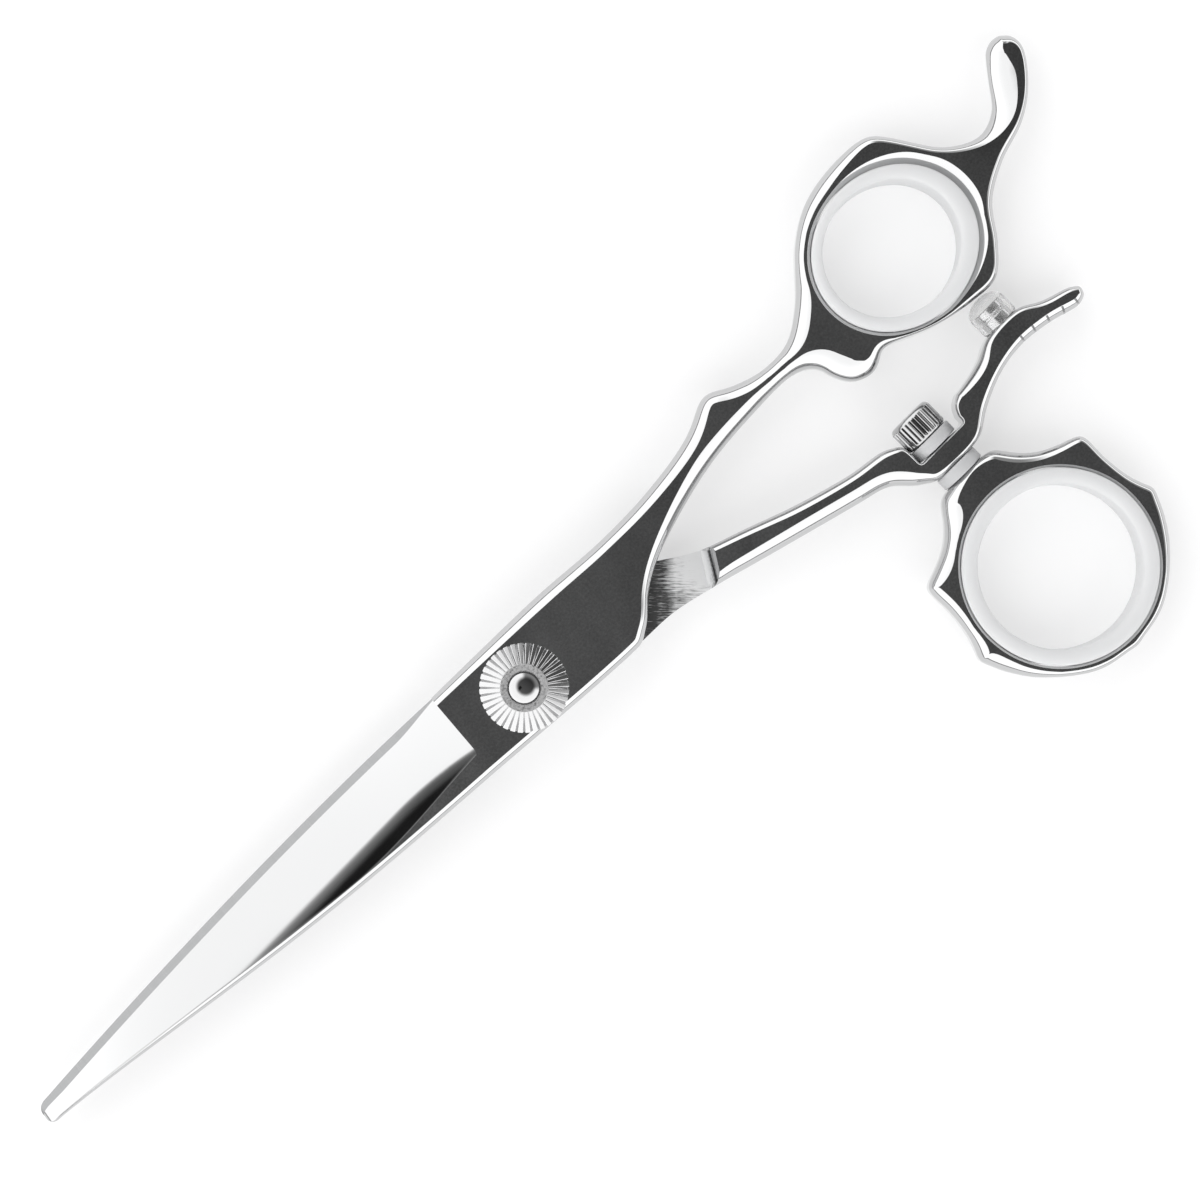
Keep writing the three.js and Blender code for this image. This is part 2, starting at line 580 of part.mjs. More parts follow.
// The dial nut: a toothed rim, a fluted cone and a flat face, with detent pits underneath.
function tensionDial() {
  const rings = [
    [DIAL_RADIUS, DIAL_BASE, DIAL_TOOTH], [DIAL_RADIUS, DIAL_BASE + DIAL_RIM, DIAL_TOOTH],
    [DIAL_FACE_RADIUS, DIAL_TOP, DIAL_FACE_TOOTH],
  ];
  const count = DIAL_TEETH * 2;
  const position = [];
  const index = [];
  rings.forEach(([radius, z, tooth]) => {
    for (let i = 0; i < count; i += 1) {
      const turn = (2 * Math.PI * i) / count;
      const r = radius - (i % 2) * tooth;
      position.push(r * Math.cos(turn), r * Math.sin(turn), z);
    }
  });
  for (let ring = 0; ring < 2; ring += 1) {
    for (let i = 0; i < count; i += 1) {
      const a = ring * count + i;
      const b = ring * count + ((i + 1) % count);
      index.push(a, b, a + count, b, b + count, a + count);
    }
  }
  const low = position.length / 3;
  position.push(0, 0, DIAL_BASE, 0, 0, DIAL_TOP);
  for (let i = 0; i < count; i += 1) {
    const next = (i + 1) % count;
    index.push(low, next, i, low + 1, 2 * count + i, 2 * count + next);
  }
  const geometry = new THREE.BufferGeometry();
  geometry.setAttribute('position', new THREE.Float32BufferAttribute(position, 3));
  geometry.setIndex(index);
  const bore = turned(rod(BOLT_RADIUS + FIT, DIAL_BORE_START, DIAL_TOP - SEAT_DEPTH + FIT / 2));
  const seat = turned(rod(BUTTON_RADIUS + FIT, DIAL_TOP - SEAT_DEPTH, ABOVE));
  const race = turned(sleeve(RACE.inner, RACE.outer, DIAL_BASE - 1, DIAL_BASE + RACE.depth));
  return cut(facingOut(geometry), bore, seat, race);
}

function dialLockScrew() {
  return turned([
    [0, BUTTON_SHANK_END], [BUTTON_SHANK, BUTTON_SHANK_END], [BUTTON_SHANK, BUTTON_RIM],
    [BUTTON_RADIUS, BUTTON_RIM], ...BUTTON_CROWN,
  ]);
}

// ---- swivel and bumper ----
function swivelStud() {
  return turnedAlongY(rod(STUD_RADIUS, STUD_START, STUD_END), SWIVEL_X);
}

function swivelBush() {
  const start = BOSS_FLOOR + END_PLAY;
  const end = BOSS_TOP - END_PLAY;
  return turnedAlongY(sleeve(STUD_RADIUS + FIT, SWIVEL_BUSH_RADIUS, start, end), SWIVEL_X);
}

function swivelWasher(start, end) {
  return turnedAlongY(sleeve(STUD_RADIUS + FIT, WASHER_RADIUS, start, end), SWIVEL_X);
}

function swivelKnob() {
  const bore = STUD_RADIUS + FIT;
  return turnedAlongY([
    [0, KNOB_START], [KNOB_RADIUS - KNOB_CHAMFER, KNOB_START], [KNOB_RADIUS, KNOB_START + KNOB_CHAMFER],
    [KNOB_RADIUS, KNOB_END - KNOB_RIM], [KNOB_RADIUS - KNOB_RIM, KNOB_END], [bore, KNOB_END],
    [bore, KNOB_START + KNOB_FLOOR], [0, KNOB_START + KNOB_FLOOR],
  ], SWIVEL_X);
}

function bumperStud() {
  return turnedAlongY(BUMPER_STUD_PROFILE, BUMPER_X);
}

function bumperPad() {
  return turnedAlongY(BUMPER_PROFILE, BUMPER_X);
}

// ---- assembly ----
const shears = new THREE.Group();

function place(name, solid, look) {
  const mesh = new THREE.Mesh(toGeometry(solid), new THREE.MeshStandardMaterial(look));
  mesh.name = name;
  shears.add(mesh);
}

place('finger_blade', fingerBlade(), steel);
place('finger_insert', insert(FINGER_RING, FINGER_GRIP), silicone);
place('pivot_bush', pivotBush(), brass);
place('ride_washer', rideWasher(), nylon);
place('thumb_blade', thumbBlade(), steel);
place('pivot_bolt', pivotBolt(), steel);
place('wave_spring', waveSpring(), darkSteel);
place('thrust_washer', thrustWasher(), nylon);
place('click_plate', clickPlate(), darkSteel);
place('tension_dial', tensionDial(), steel);
place('dial_lock_screw', dialLockScrew(), steel);
place('thumb_ring', thumbRing(), steel);
place('thumb_insert', insert(THUMB_HOLE, THUMB_GRIP), silicone);
place('swivel_stud', swivelStud(), darkSteel);
place('swivel_bush', swivelBush(), nylon);
place('swivel_washer_outer', swivelWasher(KNOB_END + FIT, BOSS_FLOOR - FIT), nylon);
place('swivel_washer_inner', swivelWasher(BOSS_TOP + FIT, NECK - FIT), nylon);
place('swivel_knob', swivelKnob(), steel);
place('bumper_stud', bumperStud(), steel);
place('bumper_pad', bumperPad(), silicone);

export default shears;
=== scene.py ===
"""Hair cutting shears: fine meshes, materials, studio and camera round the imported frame.

Shapes are worked out in millimetres in the frame's own axes and scaled to metres as the meshes are made.
"""
import math

import bmesh
import bpy
import numpy as np
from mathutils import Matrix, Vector
from mathutils.geometry import delaunay_2d_cdt


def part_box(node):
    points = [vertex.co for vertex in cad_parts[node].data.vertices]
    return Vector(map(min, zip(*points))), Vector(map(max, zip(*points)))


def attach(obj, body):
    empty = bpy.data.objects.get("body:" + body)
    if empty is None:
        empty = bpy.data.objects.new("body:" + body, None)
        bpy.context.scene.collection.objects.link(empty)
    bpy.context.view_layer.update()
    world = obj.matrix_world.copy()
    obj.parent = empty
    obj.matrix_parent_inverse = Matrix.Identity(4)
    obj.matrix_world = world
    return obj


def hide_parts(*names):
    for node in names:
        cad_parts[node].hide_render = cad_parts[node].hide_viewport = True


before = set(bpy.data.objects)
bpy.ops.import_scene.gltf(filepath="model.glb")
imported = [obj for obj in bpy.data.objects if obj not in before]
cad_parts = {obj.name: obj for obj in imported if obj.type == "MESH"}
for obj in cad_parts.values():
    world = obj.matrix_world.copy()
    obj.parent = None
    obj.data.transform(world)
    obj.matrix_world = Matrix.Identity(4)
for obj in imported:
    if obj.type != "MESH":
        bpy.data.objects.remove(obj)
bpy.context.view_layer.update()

MM = 0.001
STEP = 0.28  # distance between points along a forged outline
STRAIGHT = math.radians(0.15)  # a smaller turn than this is a straight line
CORNER = math.radians(50)  # a sharper turn than this stays a corner
SPLINE_STEPS = 24
ROOM_STEP = 0.06
WIDEST_BEVEL = 3.6
STEEPEST = 0.12  # the most that a bevel's width changes from one point to the next
BEVEL_LOOPS = 9
BEVEL_SWEEP = math.radians(72)  # how far round its quarter ellipse a bevel runs
MEETING_SLOPE = 0.29  # how steep a bevel still is where it meets the flat
CREASE = 38  # a turn of more degrees than this breaks a smooth surface
RING_POINTS = 260
POLISHED, HONED, GROUND, FLAT = range(4)  # the finishes, in FORGED's order


def corners(node):
    """A CAD node's lowest and highest corners, in mm."""
    low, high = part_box(node)
    return np.array(low) / MM, np.array(high) / MM


def smoothstep(start, end, x):
    t = np.clip((x - start) / (end - start), 0, 1)
    return t * t * (3 - 2 * t)


def mix(a, b, t):
    return a + (b - a) * t


# ---- sizes read from the frame ----
TIP, _, RICASSO_TOP = corners("finger_blade")[1]
RICASSO_BOTTOM = corners("thumb_blade")[0][2]
RING_LOW, RING_HIGH = corners("thumb_ring")
BOLT_HIGH = corners("pivot_bolt")[1]
DIAL_LOW, DIAL_HIGH = corners("tension_dial")
KNOB_LOW, KNOB_HIGH = corners("swivel_knob")
PAD_LOW, PAD_HIGH = corners("bumper_pad")
MIDDLE = (RING_LOW[2] + RING_HIGH[2]) / 2
HALF = (RING_HIGH[2] - RING_LOW[2]) / 2
BLADE_GAP = 0.1
FINGER_INNER = MIDDLE + BLADE_GAP
THUMB_INNER = MIDDLE - BLADE_GAP
HEEL = 8.4
SWIVEL = (KNOB_LOW + KNOB_HIGH)[[0, 2]] / 2  # where each axis along Y passes, as x and z
BUMPER = (PAD_LOW + PAD_HIGH)[[0, 2]] / 2


# ---- outlines ----
def slice_loops(node, height):
    """The closed loops where a level plane cuts a CAD node, in mm, longest first."""
    bm = bmesh.new()
    bm.from_mesh(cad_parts[node].data)
    bmesh.ops.remove_doubles(bm, verts=bm.verts, dist=1e-7)
    bmesh.ops.bisect_plane(
        bm, geom=bm.verts[:] + bm.edges[:] + bm.faces[:], plane_co=(0, 0, height * MM),
        plane_no=(0, 0, 1), clear_inner=True, clear_outer=True,
    )
    loops, left = [], set(bm.verts)
    while left:
        loop, vert = [], min(left, key=lambda vert: tuple(vert.co))
        while vert is not None:
            left.discard(vert)
            loop.append((vert.co.x / MM, vert.co.y / MM))
            onward = [edge.other_vert(vert) for edge in vert.link_edges]
            vert = next((near for near in onward if near in left), None)
        if len(loop) > 4:
            loops.append(np.array(loop))
    bm.free()
    return sorted(loops, key=lambda loop: -np.ptp(loop[:, 0]))


def turning(loop):
    """How far a closed line turns at each of its points, in radians."""
    before = loop - np.roll(loop, 1, 0)
    after = np.roll(loop, -1, 0) - loop
    cross = before[:, 0] * after[:, 1] - before[:, 1] * after[:, 0]
    return np.arctan2(cross, (before * after).sum(1))


def counterclockwise(loop):
    nxt = np.roll(loop, -1, 0)
    area = (loop[:, 0] * nxt[:, 1] - loop[:, 1] * nxt[:, 0]).sum()
    return loop if area > 0 else loop[::-1]


def bare(loop):
    """Leaves out the points that lie on the straight line between their neighbours."""
    for _ in range(3):
        loop = loop[np.abs(turning(loop)) > STRAIGHT]
    return loop


def spline(points, closed):
    """A dense centripetal curve through points."""
    count = len(points)
    dense = []
    spans = count if closed else count - 1
    for i in range(spans):
        p1, p2 = points[i], points[(i + 1) % count]
        p0 = points[i - 1] if closed or i > 0 else 2 * p1 - p2
        p3 = points[(i + 2) % count] if closed or i + 2 < count else 2 * p2 - p1
        sides = p1 - p0, p2 - p1, p3 - p2
        t1, t2, t3 = np.cumsum([max(np.linalg.norm(side), 1e-6) ** 0.5 for side in sides])
        for t in np.linspace(t1, t2, SPLINE_STEPS, endpoint=False):
            a1 = (t1 - t) / t1 * p0 + t / t1 * p1
            a2 = (t2 - t) / (t2 - t1) * p1 + (t - t1) / (t2 - t1) * p2
            a3 = (t3 - t) / (t3 - t2) * p2 + (t - t2) / (t3 - t2) * p3
            b1 = (t2 - t) / t2 * a1 + t / t2 * a2
            b2 = (t3 - t) / (t3 - t1) * a2 + (t - t1) / (t3 - t1) * a3
            dense.append((t2 - t) / (t2 - t1) * b1 + (t - t1) / (t2 - t1) * b2)
    if not closed:
        dense.append(points[-1])
    return np.array(dense)


def spaced(points, step, closed):
    """The same line with its points one step apart."""
    path = np.vstack([points, points[:1]]) if closed else points
    lengths = np.concatenate([[0], np.cumsum(np.linalg.norm(np.diff(path, axis=0), axis=1))])
    count = max(2, int(round(lengths[-1] / step)))
    at = np.linspace(0, lengths[-1], count + 1)
    if closed:
        at = at[:-1]
    return np.stack([np.interp(at, lengths, path[:, k]) for k in range(2)], axis=1)


def refined(loop):
    """A smooth, evenly spaced outline through a sliced loop, with its corners kept."""
    loop = bare(counterclockwise(loop))
    sharp = np.flatnonzero(np.abs(turning(loop)) > CORNER)
    if len(sharp) == 0:
        return spaced(spline(loop, True), STEP, True)
    loop = np.roll(loop, -sharp[0], 0)
    sharp = np.append(sharp - sharp[0], len(loop))
    runs = []
    for start, end in zip(sharp[:-1], sharp[1:]):
        run = np.vstack([loop[start:end], loop[end % len(loop)]])
        runs.append(spaced(spline(run, False), STEP, False)[:-1])
    return np.vstack(runs)


def rounded(loop, times):
    """Takes the edge off an outline's corners."""
    for _ in range(times):
        loop = 0.5 * loop + 0.25 * (np.roll(loop, 1, 0) + np.roll(loop, -1, 0))
    return loop


def around(count):
    """Evenly spaced angles once round."""
    return np.arange(count) * 2 * math.pi / count


def ellipse(loop):
    """The smooth ellipse that a faceted hole stands for."""
    low, high = loop.min(0), loop.max(0)
    turn = around(RING_POINTS)
    return (low + high) / 2 + (high - low) / 2 * np.stack([np.cos(turn), np.sin(turn)], axis=1)


def widths_along(loop, marks):
    """Bevel widths at every outline point, from marks of x, y and width."""
    marks = np.array(marks, float)
    nearest = [int(np.argmin(np.hypot(*(loop - mark[:2]).T))) for mark in marks]
    order = np.argsort(nearest)
    at, width = np.array(nearest)[order], marks[order, 2]
    return np.interp(np.arange(len(loop)), at, width, period=len(loop))


def inward(loop):
    """Unit normals to the left of the way round, which is into the metal."""
    way = np.roll(loop, -1, 0) - np.roll(loop, 1, 0)
    normal = np.stack([-way[:, 1], way[:, 0]], axis=1)
    return normal / np.linalg.norm(normal, axis=1, keepdims=True)


def room(loop, normal, walls, wall_widths):
    """How far each point can move inward before it meets another side's bevel."""
    reach, free = np.zeros(len(loop)), np.ones(len(loop), bool)
    for distance in np.arange(ROOM_STEP, WIDEST_BEVEL, ROOM_STEP):
        centre = loop + normal * distance
        gap = np.sqrt(((centre[:, None] - walls[None]) ** 2).sum(2))
        need = np.minimum(distance, wall_widths[None] + 0.2)
        free &= (gap - need).min(1) > -0.02 - 0.01 * distance
        reach[free] = distance
    return reach


def evened(width, limit, times):
    """Smooth widths under a limit, with no sudden steps."""
    for _ in range(40):
        width = np.minimum(width, np.minimum(np.roll(width, 1), np.roll(width, -1)) + STEEPEST)
    for _ in range(times):
        width = np.minimum(0.5 * width + 0.25 * (np.roll(width, 1) + np.roll(width, -1)), limit)
    return width


def settled(loop, normal, width, limit):
    """Bevel widths made even and kept to their room, so that the inner line doesn't fold."""
    limit = np.maximum(0.88 * limit - 0.04, 0.02)
    width = evened(np.minimum(width, limit), limit, 24)
    outer = np.roll(loop, -1, 0) - loop
    for _ in range(60):
        inner = loop + normal * width[:, None]
        way = np.roll(inner, -1, 0) - inner
        folded = (way * outer).sum(1) < 0.08 * (outer * outer).sum(1)
        if not folded.any():
            break
        limit = np.where(folded | np.roll(folded, 1), 0.9 * width, limit)
        width = evened(np.minimum(width, limit), limit, 3)
    return width


# ---- mesh making ----
def link(name, data):
    obj = bpy.data.objects.new(name, data)
    bpy.context.scene.collection.objects.link(obj)
    return obj


def make_object(name, verts_mm, faces, materials, indices=None):
    mesh = bpy.data.meshes.new(name)
    mesh.from_pydata([tuple(v) for v in np.asarray(verts_mm) * MM], [], faces)
    for material in materials:
        mesh.materials.append(material)
    if indices is not None:
        mesh.polygons.foreach_set("material_index", np.asarray(indices, np.int32))
    obj = link(name, mesh)
    outward(obj)
    return obj


def outward(obj):
    """Turns every face of a closed mesh to look outward."""
    bm = bmesh.new()
    bm.from_mesh(obj.data)
    bmesh.ops.recalc_face_normals(bm, faces=bm.faces)
    if bm.calc_volume(signed=True) < 0:
        bmesh.ops.reverse_faces(bm, faces=bm.faces)
    bm.to_mesh(obj.data)
    bm.free()


def combine(obj, other, operation="DIFFERENCE"):
    """Cuts another object from obj, or joins it on, and takes it away."""
    modifier = obj.modifiers.new("boolean", "BOOLEAN")
    modifier.operation = operation
    modifier.solver = "MANIFOLD"
    modifier.object = other
    shaped = obj.evaluated_get(bpy.context.evaluated_depsgraph_get())
    mesh = bpy.data.meshes.new_from_object(shaped)
    obj.modifiers.clear()
    old, obj.data = obj.data, mesh
    bpy.data.meshes.remove(old)
    bpy.data.objects.remove(other)


def is_crease(edge, sharp):
    """Whether the surface breaks at an edge, by a sharp turn or another finish."""
    if len(edge.link_faces) != 2:
        return True
    one, other = edge.link_faces
    return one.material_index != other.material_index or edge.calc_face_angle(0) > math.radians(sharp)


def finish_surface(obj, sharp):
    """Smooth faces, creases where the surface breaks, and normals led by large faces."""
    mesh = obj.data
    mesh.polygons.foreach_set("use_smooth", [True] * len(mesh.polygons))
    bm = bmesh.new()
    bm.from_mesh(mesh)
    bmesh.ops.dissolve_degenerate(bm, dist=1e-8, edges=bm.edges)
    for edge in bm.edges:
        edge.smooth = not is_crease(edge, sharp)
    bm.to_mesh(mesh)
    bm.free()
    modifier = obj.modifiers.new("normals", "WEIGHTED_NORMAL")
    modifier.keep_sharp = True
    modifier.weight = 80


def bevel_curve(end=BEVEL_SWEEP):
    """Shares of a rolled bevel's width and height, from the side wall to the flat."""
    sweep = np.multiply.outer(np.linspace(0, 1, BEVEL_LOOPS + 1), end)
    across = (1 - np.cos(sweep)) / (1 - np.cos(end))
    up = np.sin(sweep) / np.sin(end)
    return across, up


def bevel_end(wide, tall):
    """How far round bevels run. Wide ones stop early, to meet the flat at a clear angle."""
    part = np.minimum(MEETING_SLOPE * wide / tall, 0.48)
    return np.minimum(BEVEL_SWEEP, np.arccos(part / (1 - part)))


def inside(points, loop):
    """Whether each point is inside a closed loop."""
    (x1, y1), (x2, y2) = loop.T, np.roll(loop, -1, 0).T
    px, py = points[:, :1], points[:, 1:]
    spans = (y1 > py) != (y2 > py)
    crossing = (x2 - x1) * (py - y1) / np.where(y2 == y1, 1e-12, y2 - y1) + x1
    return (spans & (px < crossing)).sum(1) % 2 == 1


def band(a, b, size):
    """Quads between two rings of points that start at the numbers a and b."""
    return [(a + k, a + (k + 1) % size, b + (k + 1) % size, b + k) for k in range(size)]


def fill(rings, upward):
    """Triangles over a flat between its bevels' last rings, each given with its first number."""
    points, edges, owners = [], [], []
    loops = [ring[:, :2] for ring, _ in rings]
    for loop, (_, first) in zip(loops, rings):
        base = len(points)
        points += [Vector(p) for p in loop]
        owners += range(first, first + len(loop))
        edges += [(base + i, base + (i + 1) % len(loop)) for i in range(len(loop))]
    out = delaunay_2d_cdt(points, edges, [], 1, 1e-7)
    origin = [owners[o[0]] if o else None for o in out[3]]
    centres = np.array([np.mean([out[0][i] for i in face], axis=0) for face in out[2]])
    in_metal = inside(centres, loops[0])
    for hole in loops[1:]:
        in_metal &= ~inside(centres, hole)
    faces = []
    for face, kept in zip(out[2], in_metal):
        if not kept:
            continue
        ids = [origin[i] for i in face]
        if None not in ids and len(set(ids)) == len(ids):
            faces.append(ids if upward else ids[::-1])
    return faces


def rolled_edge(wide):
    """A forged edge's bevel: its height, and its curve as shares of width and height."""
    tall = np.clip(1.15 * wide + 0.3, 0.35, 1.9)
    return tall, *bevel_curve(bevel_end(wide, tall))


def chamfer(wide):
    """A hole's bevel: half as high as it is wide, and straight."""
    straight = np.linspace(0, 1, 4)
    return 0.5 * wide, straight, straight


def edge_rings(loop, normal, wide, bevel, top, bottom):
    """Rings of points round one edge, from the lower flat over the side wall to the upper flat."""
    tall, across, up = bevel
    rings = []
    for flat_at, sign in ((bottom, -1), (top, 1)):
        half = []
        for share, rise in zip(across, up):
            at = loop + normal * (wide * share)[:, None]
            height = flat_at(at[:, 0]) - sign * tall * (1 - rise)
            half.append(np.column_stack([at, height]))
        rings += half[::sign]
    return rings


def forging(name, outline, holes, top, bottom, width, hole_widths):
    """A flat forging whose edges roll over in wide bevels of changing width.

    top and bottom give the height of the flats at x; width and hole_widths the bevels' widths.
    """
    loops = [outline] + [hole[::-1] for hole in holes]
    widths = [width] + hole_widths
    verts, faces = [], []
    flats = {True: [], False: []}
    count = 0
    for loop, wide in zip(loops, widths):
        normal = inward(loop)
        wide = settled(loop, normal, wide, room(loop, normal, np.vstack(loops), np.concatenate(widths)))
        bevel = rolled_edge(wide) if loop is outline else chamfer(wide)
        rings = edge_rings(loop, normal, wide, bevel, top, bottom)
        starts = [count + row * len(loop) for row in range(len(rings))]
        for a, b in zip(starts[:-1], starts[1:]):
            faces += band(a, b, len(loop))
        flats[False].append((rings[0], starts[0]))
        flats[True].append((rings[-1], starts[-1]))
        verts += rings
        count += len(loop) * len(rings)
    indices = [POLISHED] * len(faces)
    for upward, rings in flats.items():
        faces += fill(rings, upward)
    indices += [FLAT] * (len(faces) - len(indices))
    return make_object(name, np.vstack(verts), faces, FORGED, indices)


def loft(name, sections, materials, indices=None, closed=False):
    """A skin over sections of equal length, with flat ends, or joined into a ring."""
    rows, size = len(sections), len(sections[0])
    spans = rows if closed else rows - 1
    faces = []
    for row in range(spans):
        faces += band(row * size, (row + 1) % rows * size, size)
    marks = (indices or [POLISHED] * size) * spans
    if not closed:
        faces.append(tuple(range(size))[::-1])
        faces.append(tuple(range((rows - 1) * size, rows * size)))
        marks += [POLISHED, POLISHED]
    return make_object(name, np.vstack(sections), faces, materials, marks)


def turned(name, profile, materials, facets=96, axis=None, ripple=None):
    """A solid of revolution about Z, or about the line along Y that passes through axis in x and z."""
    verts, faces, rings = [], [], []
    for radius, height in profile:
        turns = around(facets) if radius > 0 else [0.0]
        rings.append(range(len(verts), len(verts) + len(turns)))
        for turn in turns:
            r = radius if ripple is None else ripple(radius, height, turn)
            verts.append((r * math.cos(turn), r * math.sin(turn), height))
    if min(radius for radius, _ in profile) > 0:
        rings.append(rings[0])
    for a, b in zip(rings[:-1], rings[1:]):
        for k in range(facets):
            n = (k + 1) % facets
            face = dict.fromkeys([a[k % len(a)], a[n % len(a)], b[n % len(b)], b[k % len(b)]])
            if len(face) > 2:
                faces.append(list(face))
    if axis is not None:
        verts = [(x + axis[0], z, y + axis[1]) for x, y, z in verts]
    return make_object(name, verts, faces, materials)


def eased(profile, radius):
    """Rounds the inner corners of an open profile."""
    profile = np.array(profile, float)
    out = [profile[0]]
    for before, corner, after in zip(profile[:-2], profile[1:-1], profile[2:]):
        sides = before - corner, after - corner
        lengths = [np.linalg.norm(side) for side in sides]
        reach = min(radius, 0.45 * min(lengths))
        start, end = (corner + side / length * reach for side, length in zip(sides, lengths))
        for t in np.linspace(0, 1, 5):
            out.append((1 - t) ** 2 * start + 2 * t * (1 - t) * corner + t * t * end)
    out.append(profile[-1])
    return out


def rides(obj, body, node, sharp=CREASE):
    """Finishes a piece and puts it in its CAD node's place."""
    finish_surface(obj, sharp)
    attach(obj, body)
    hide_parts(node)


# ---- materials ----
class Nodes:
    """A short way to write a material's nodes."""

    def __init__(self, name):
        self.material = bpy.data.materials.new(name)
        self.material.use_nodes = True
        self.tree = self.material.node_tree
        self.shader = self.tree.nodes["Principled BSDF"]

    def add(self, kind, **inputs):
        node = self.tree.nodes.new(kind)
        for key, value in inputs.items():
            if key.startswith("set_"):
                setattr(node, key[4:], value)
            else:
                self.give(node.inputs[key.replace("_", " ")], value)
        return node

    def give(self, socket, value):
        """Links a socket to another one, or sets it to a number."""
        if isinstance(value, bpy.types.NodeSocket):
            self.tree.links.new(value, socket)
        else:
            socket.default_value = value

    def feed(self, node, values):
        for socket, value in zip(node.inputs, values):
            self.give(socket, value)
        return node.outputs[0]

    def set(self, **values):
        for key, value in values.items():
            self.give(self.shader.inputs[key.replace("_", " ")], value)

    def diagonals(self):
        """Object coordinates along the two diagonals of X and Y."""
        split = self.add("ShaderNodeSeparateXYZ", Vector=self.add("ShaderNodeTexCoord").outputs["Object"])
        x, y, _ = split.outputs
        return self.math("SUBTRACT", y, x), self.math("ADD", x, y)

    def noise(self, scale, turn=0.0, detail=2.0, rough=0.5):
        """Noise over object coordinates, turned about Z and then stretched."""
        plain = self.add("ShaderNodeTexCoord").outputs["Object"]
        across = self.add("ShaderNodeMapping", Vector=plain, Rotation=(0, 0, turn)).outputs["Vector"]
        where = self.add("ShaderNodeMapping", Vector=across, Scale=scale).outputs["Vector"]
        node = self.add("ShaderNodeTexNoise", Vector=where, Scale=1.0, Detail=detail, Roughness=rough)
        return node.outputs["Fac"]

    def range(self, value, low, high, to_low, to_high):
        return self.feed(self.add("ShaderNodeMapRange"), (value, low, high, to_low, to_high))

    def ramp(self, value, low, high, dark, light):
        """A grey that goes from dark to light as value goes from low to high."""
        node = self.add("ShaderNodeValToRGB", Fac=value)
        for element, position, grey in zip(node.color_ramp.elements, (low, high), (dark, light)):
            element.position = position
            element.color = (grey, grey * 1.004, grey * 1.01, 1)
        return node.outputs["Color"]

    def bump(self, height, strength, distance):
        node = self.add("ShaderNodeBump", Height=height, Strength=strength, Distance=distance)
        self.set(Normal=node.outputs["Normal"])

    def math(self, kind, *values):
        return self.feed(self.add("ShaderNodeMath", set_operation=kind), values)

    def blend(self, a, b, share):
        rest = self.math("SUBTRACT", 1.0, share)
        return self.math("ADD", self.math("MULTIPLY", a, rest), self.math("MULTIPLY", b, share))

    def textured(self, scale, detail, low, high, strength, distance, rough=0.5):
        """The material, once a fine noise is in its roughness and its bump."""
        fine = self.noise(scale, 0.0, detail, rough)
        self.set(Roughness=self.range(fine, 0.3, 0.7, low, high))
        self.bump(fine, strength, distance)
        return self.material


def polished_steel(name):
    """Mirror-polished steel with faint buffing marks and hairline scratches."""
    n = Nodes(name)
    n.set(Base_Color=(0.58, 0.5817, 0.5846, 1), Metallic=1.0)
    cloud = n.noise((160, 160, 160), detail=3)
    n.set(Roughness=n.range(cloud, 0.3, 0.7, 0.035, 0.075))
    scratch_a = n.range(n.noise((90, 5200, 900), 0.5, 2), 0.66, 0.8, 0, 1)
    scratch_b = n.range(n.noise((5200, 70, 900), 0.25, 2), 0.68, 0.82, 0, 1)
    buffing = n.noise((700, 5000, 2500), 0.15, 3)
    marks = n.math("MAXIMUM", scratch_a, scratch_b)
    n.bump(n.math("ADD", n.math("MULTIPLY", marks, -0.5), buffing), 0.05, 0.00002)
    return n.material


def grained_steel(name):
    """The polished flats, where a fine grain breaks up the mirror."""
    n = Nodes(name)
    n.set(Metallic=1.0)
    grain = n.noise((3200, 3200, 3200), detail=3, rough=0.7)
    cloud = n.noise((220, 90, 200), math.radians(20), 3)
    both = n.blend(grain, cloud, 0.45)
    n.set(Base_Color=n.ramp(both, 0.35, 0.65, 0.4872, 0.754))
    n.set(Roughness=n.range(grain, 0.3, 0.7, 0.04, 0.08))
    n.bump(grain, 0.06, 0.00002)
    return n.material


def honed_steel(name):
    """The satin strip beside a cutting edge, with fine lines across it."""
    n = Nodes(name)
    n.set(Base_Color=(0.31, 0.313, 0.317, 1), Metallic=1.0)
    return n.textured((9000, 260, 260), 3, 0.26, 0.42, 0.3, 0.00003, 0.6)


def ground_steel(name):
    """A flat left from the grinding wheel, with streaks across the shank and painted shade and light in its
    colour.
    """
    n = Nodes(name)
    n.set(Metallic=0.55)
    streaks = n.noise((600, 6500, 600), math.radians(45), 4, 0.65)
    bands = n.noise((420, 90, 100), math.radians(45), 2)
    marks = n.blend(streaks, bands, 0.3)
    across, ahead = n.diagonals()
    # painted shade and light: darker where y - x is under about 22 mm, next to the finger half, lighter
    # past 24.5 mm, and darker where x + y is above about -15 mm
    painted_shade_near_half = n.range(across, 0.0223, 0.0245, -0.14, 0.15)
    painted_shade_near_edge = n.range(ahead, -0.0175, -0.0145, 0.0, -0.13)
    painted_shade = n.math("MAXIMUM", n.math("ADD", painted_shade_near_half, painted_shade_near_edge), -0.16)
    # the painted shade reaches only the part of the flat open to view; the hidden part gets a small even
    # offset instead
    open_to_view = n.range(across, 0.014, 0.0165, 0.0, 1.0)
    both = n.math("ADD", marks, n.blend(0.05, painted_shade, open_to_view))
    n.set(Base_Color=n.ramp(both, 0.38, 0.6, 0.06, 0.9))
    n.set(Roughness=n.range(both, 0.35, 0.65, 0.5, 0.38))
    n.bump(streaks, 0.5, 0.00004)
    return n.material


def turned_steel(name, rough=0.09, shade=0.62):
    """Small lathe-turned parts."""
    n = Nodes(name)
    n.set(Base_Color=(shade, shade, shade * 1.005, 1), Metallic=1.0)
    return n.textured((3500, 3500, 3500), 2, rough * 0.7, rough * 1.6, 0.06, 0.00001)


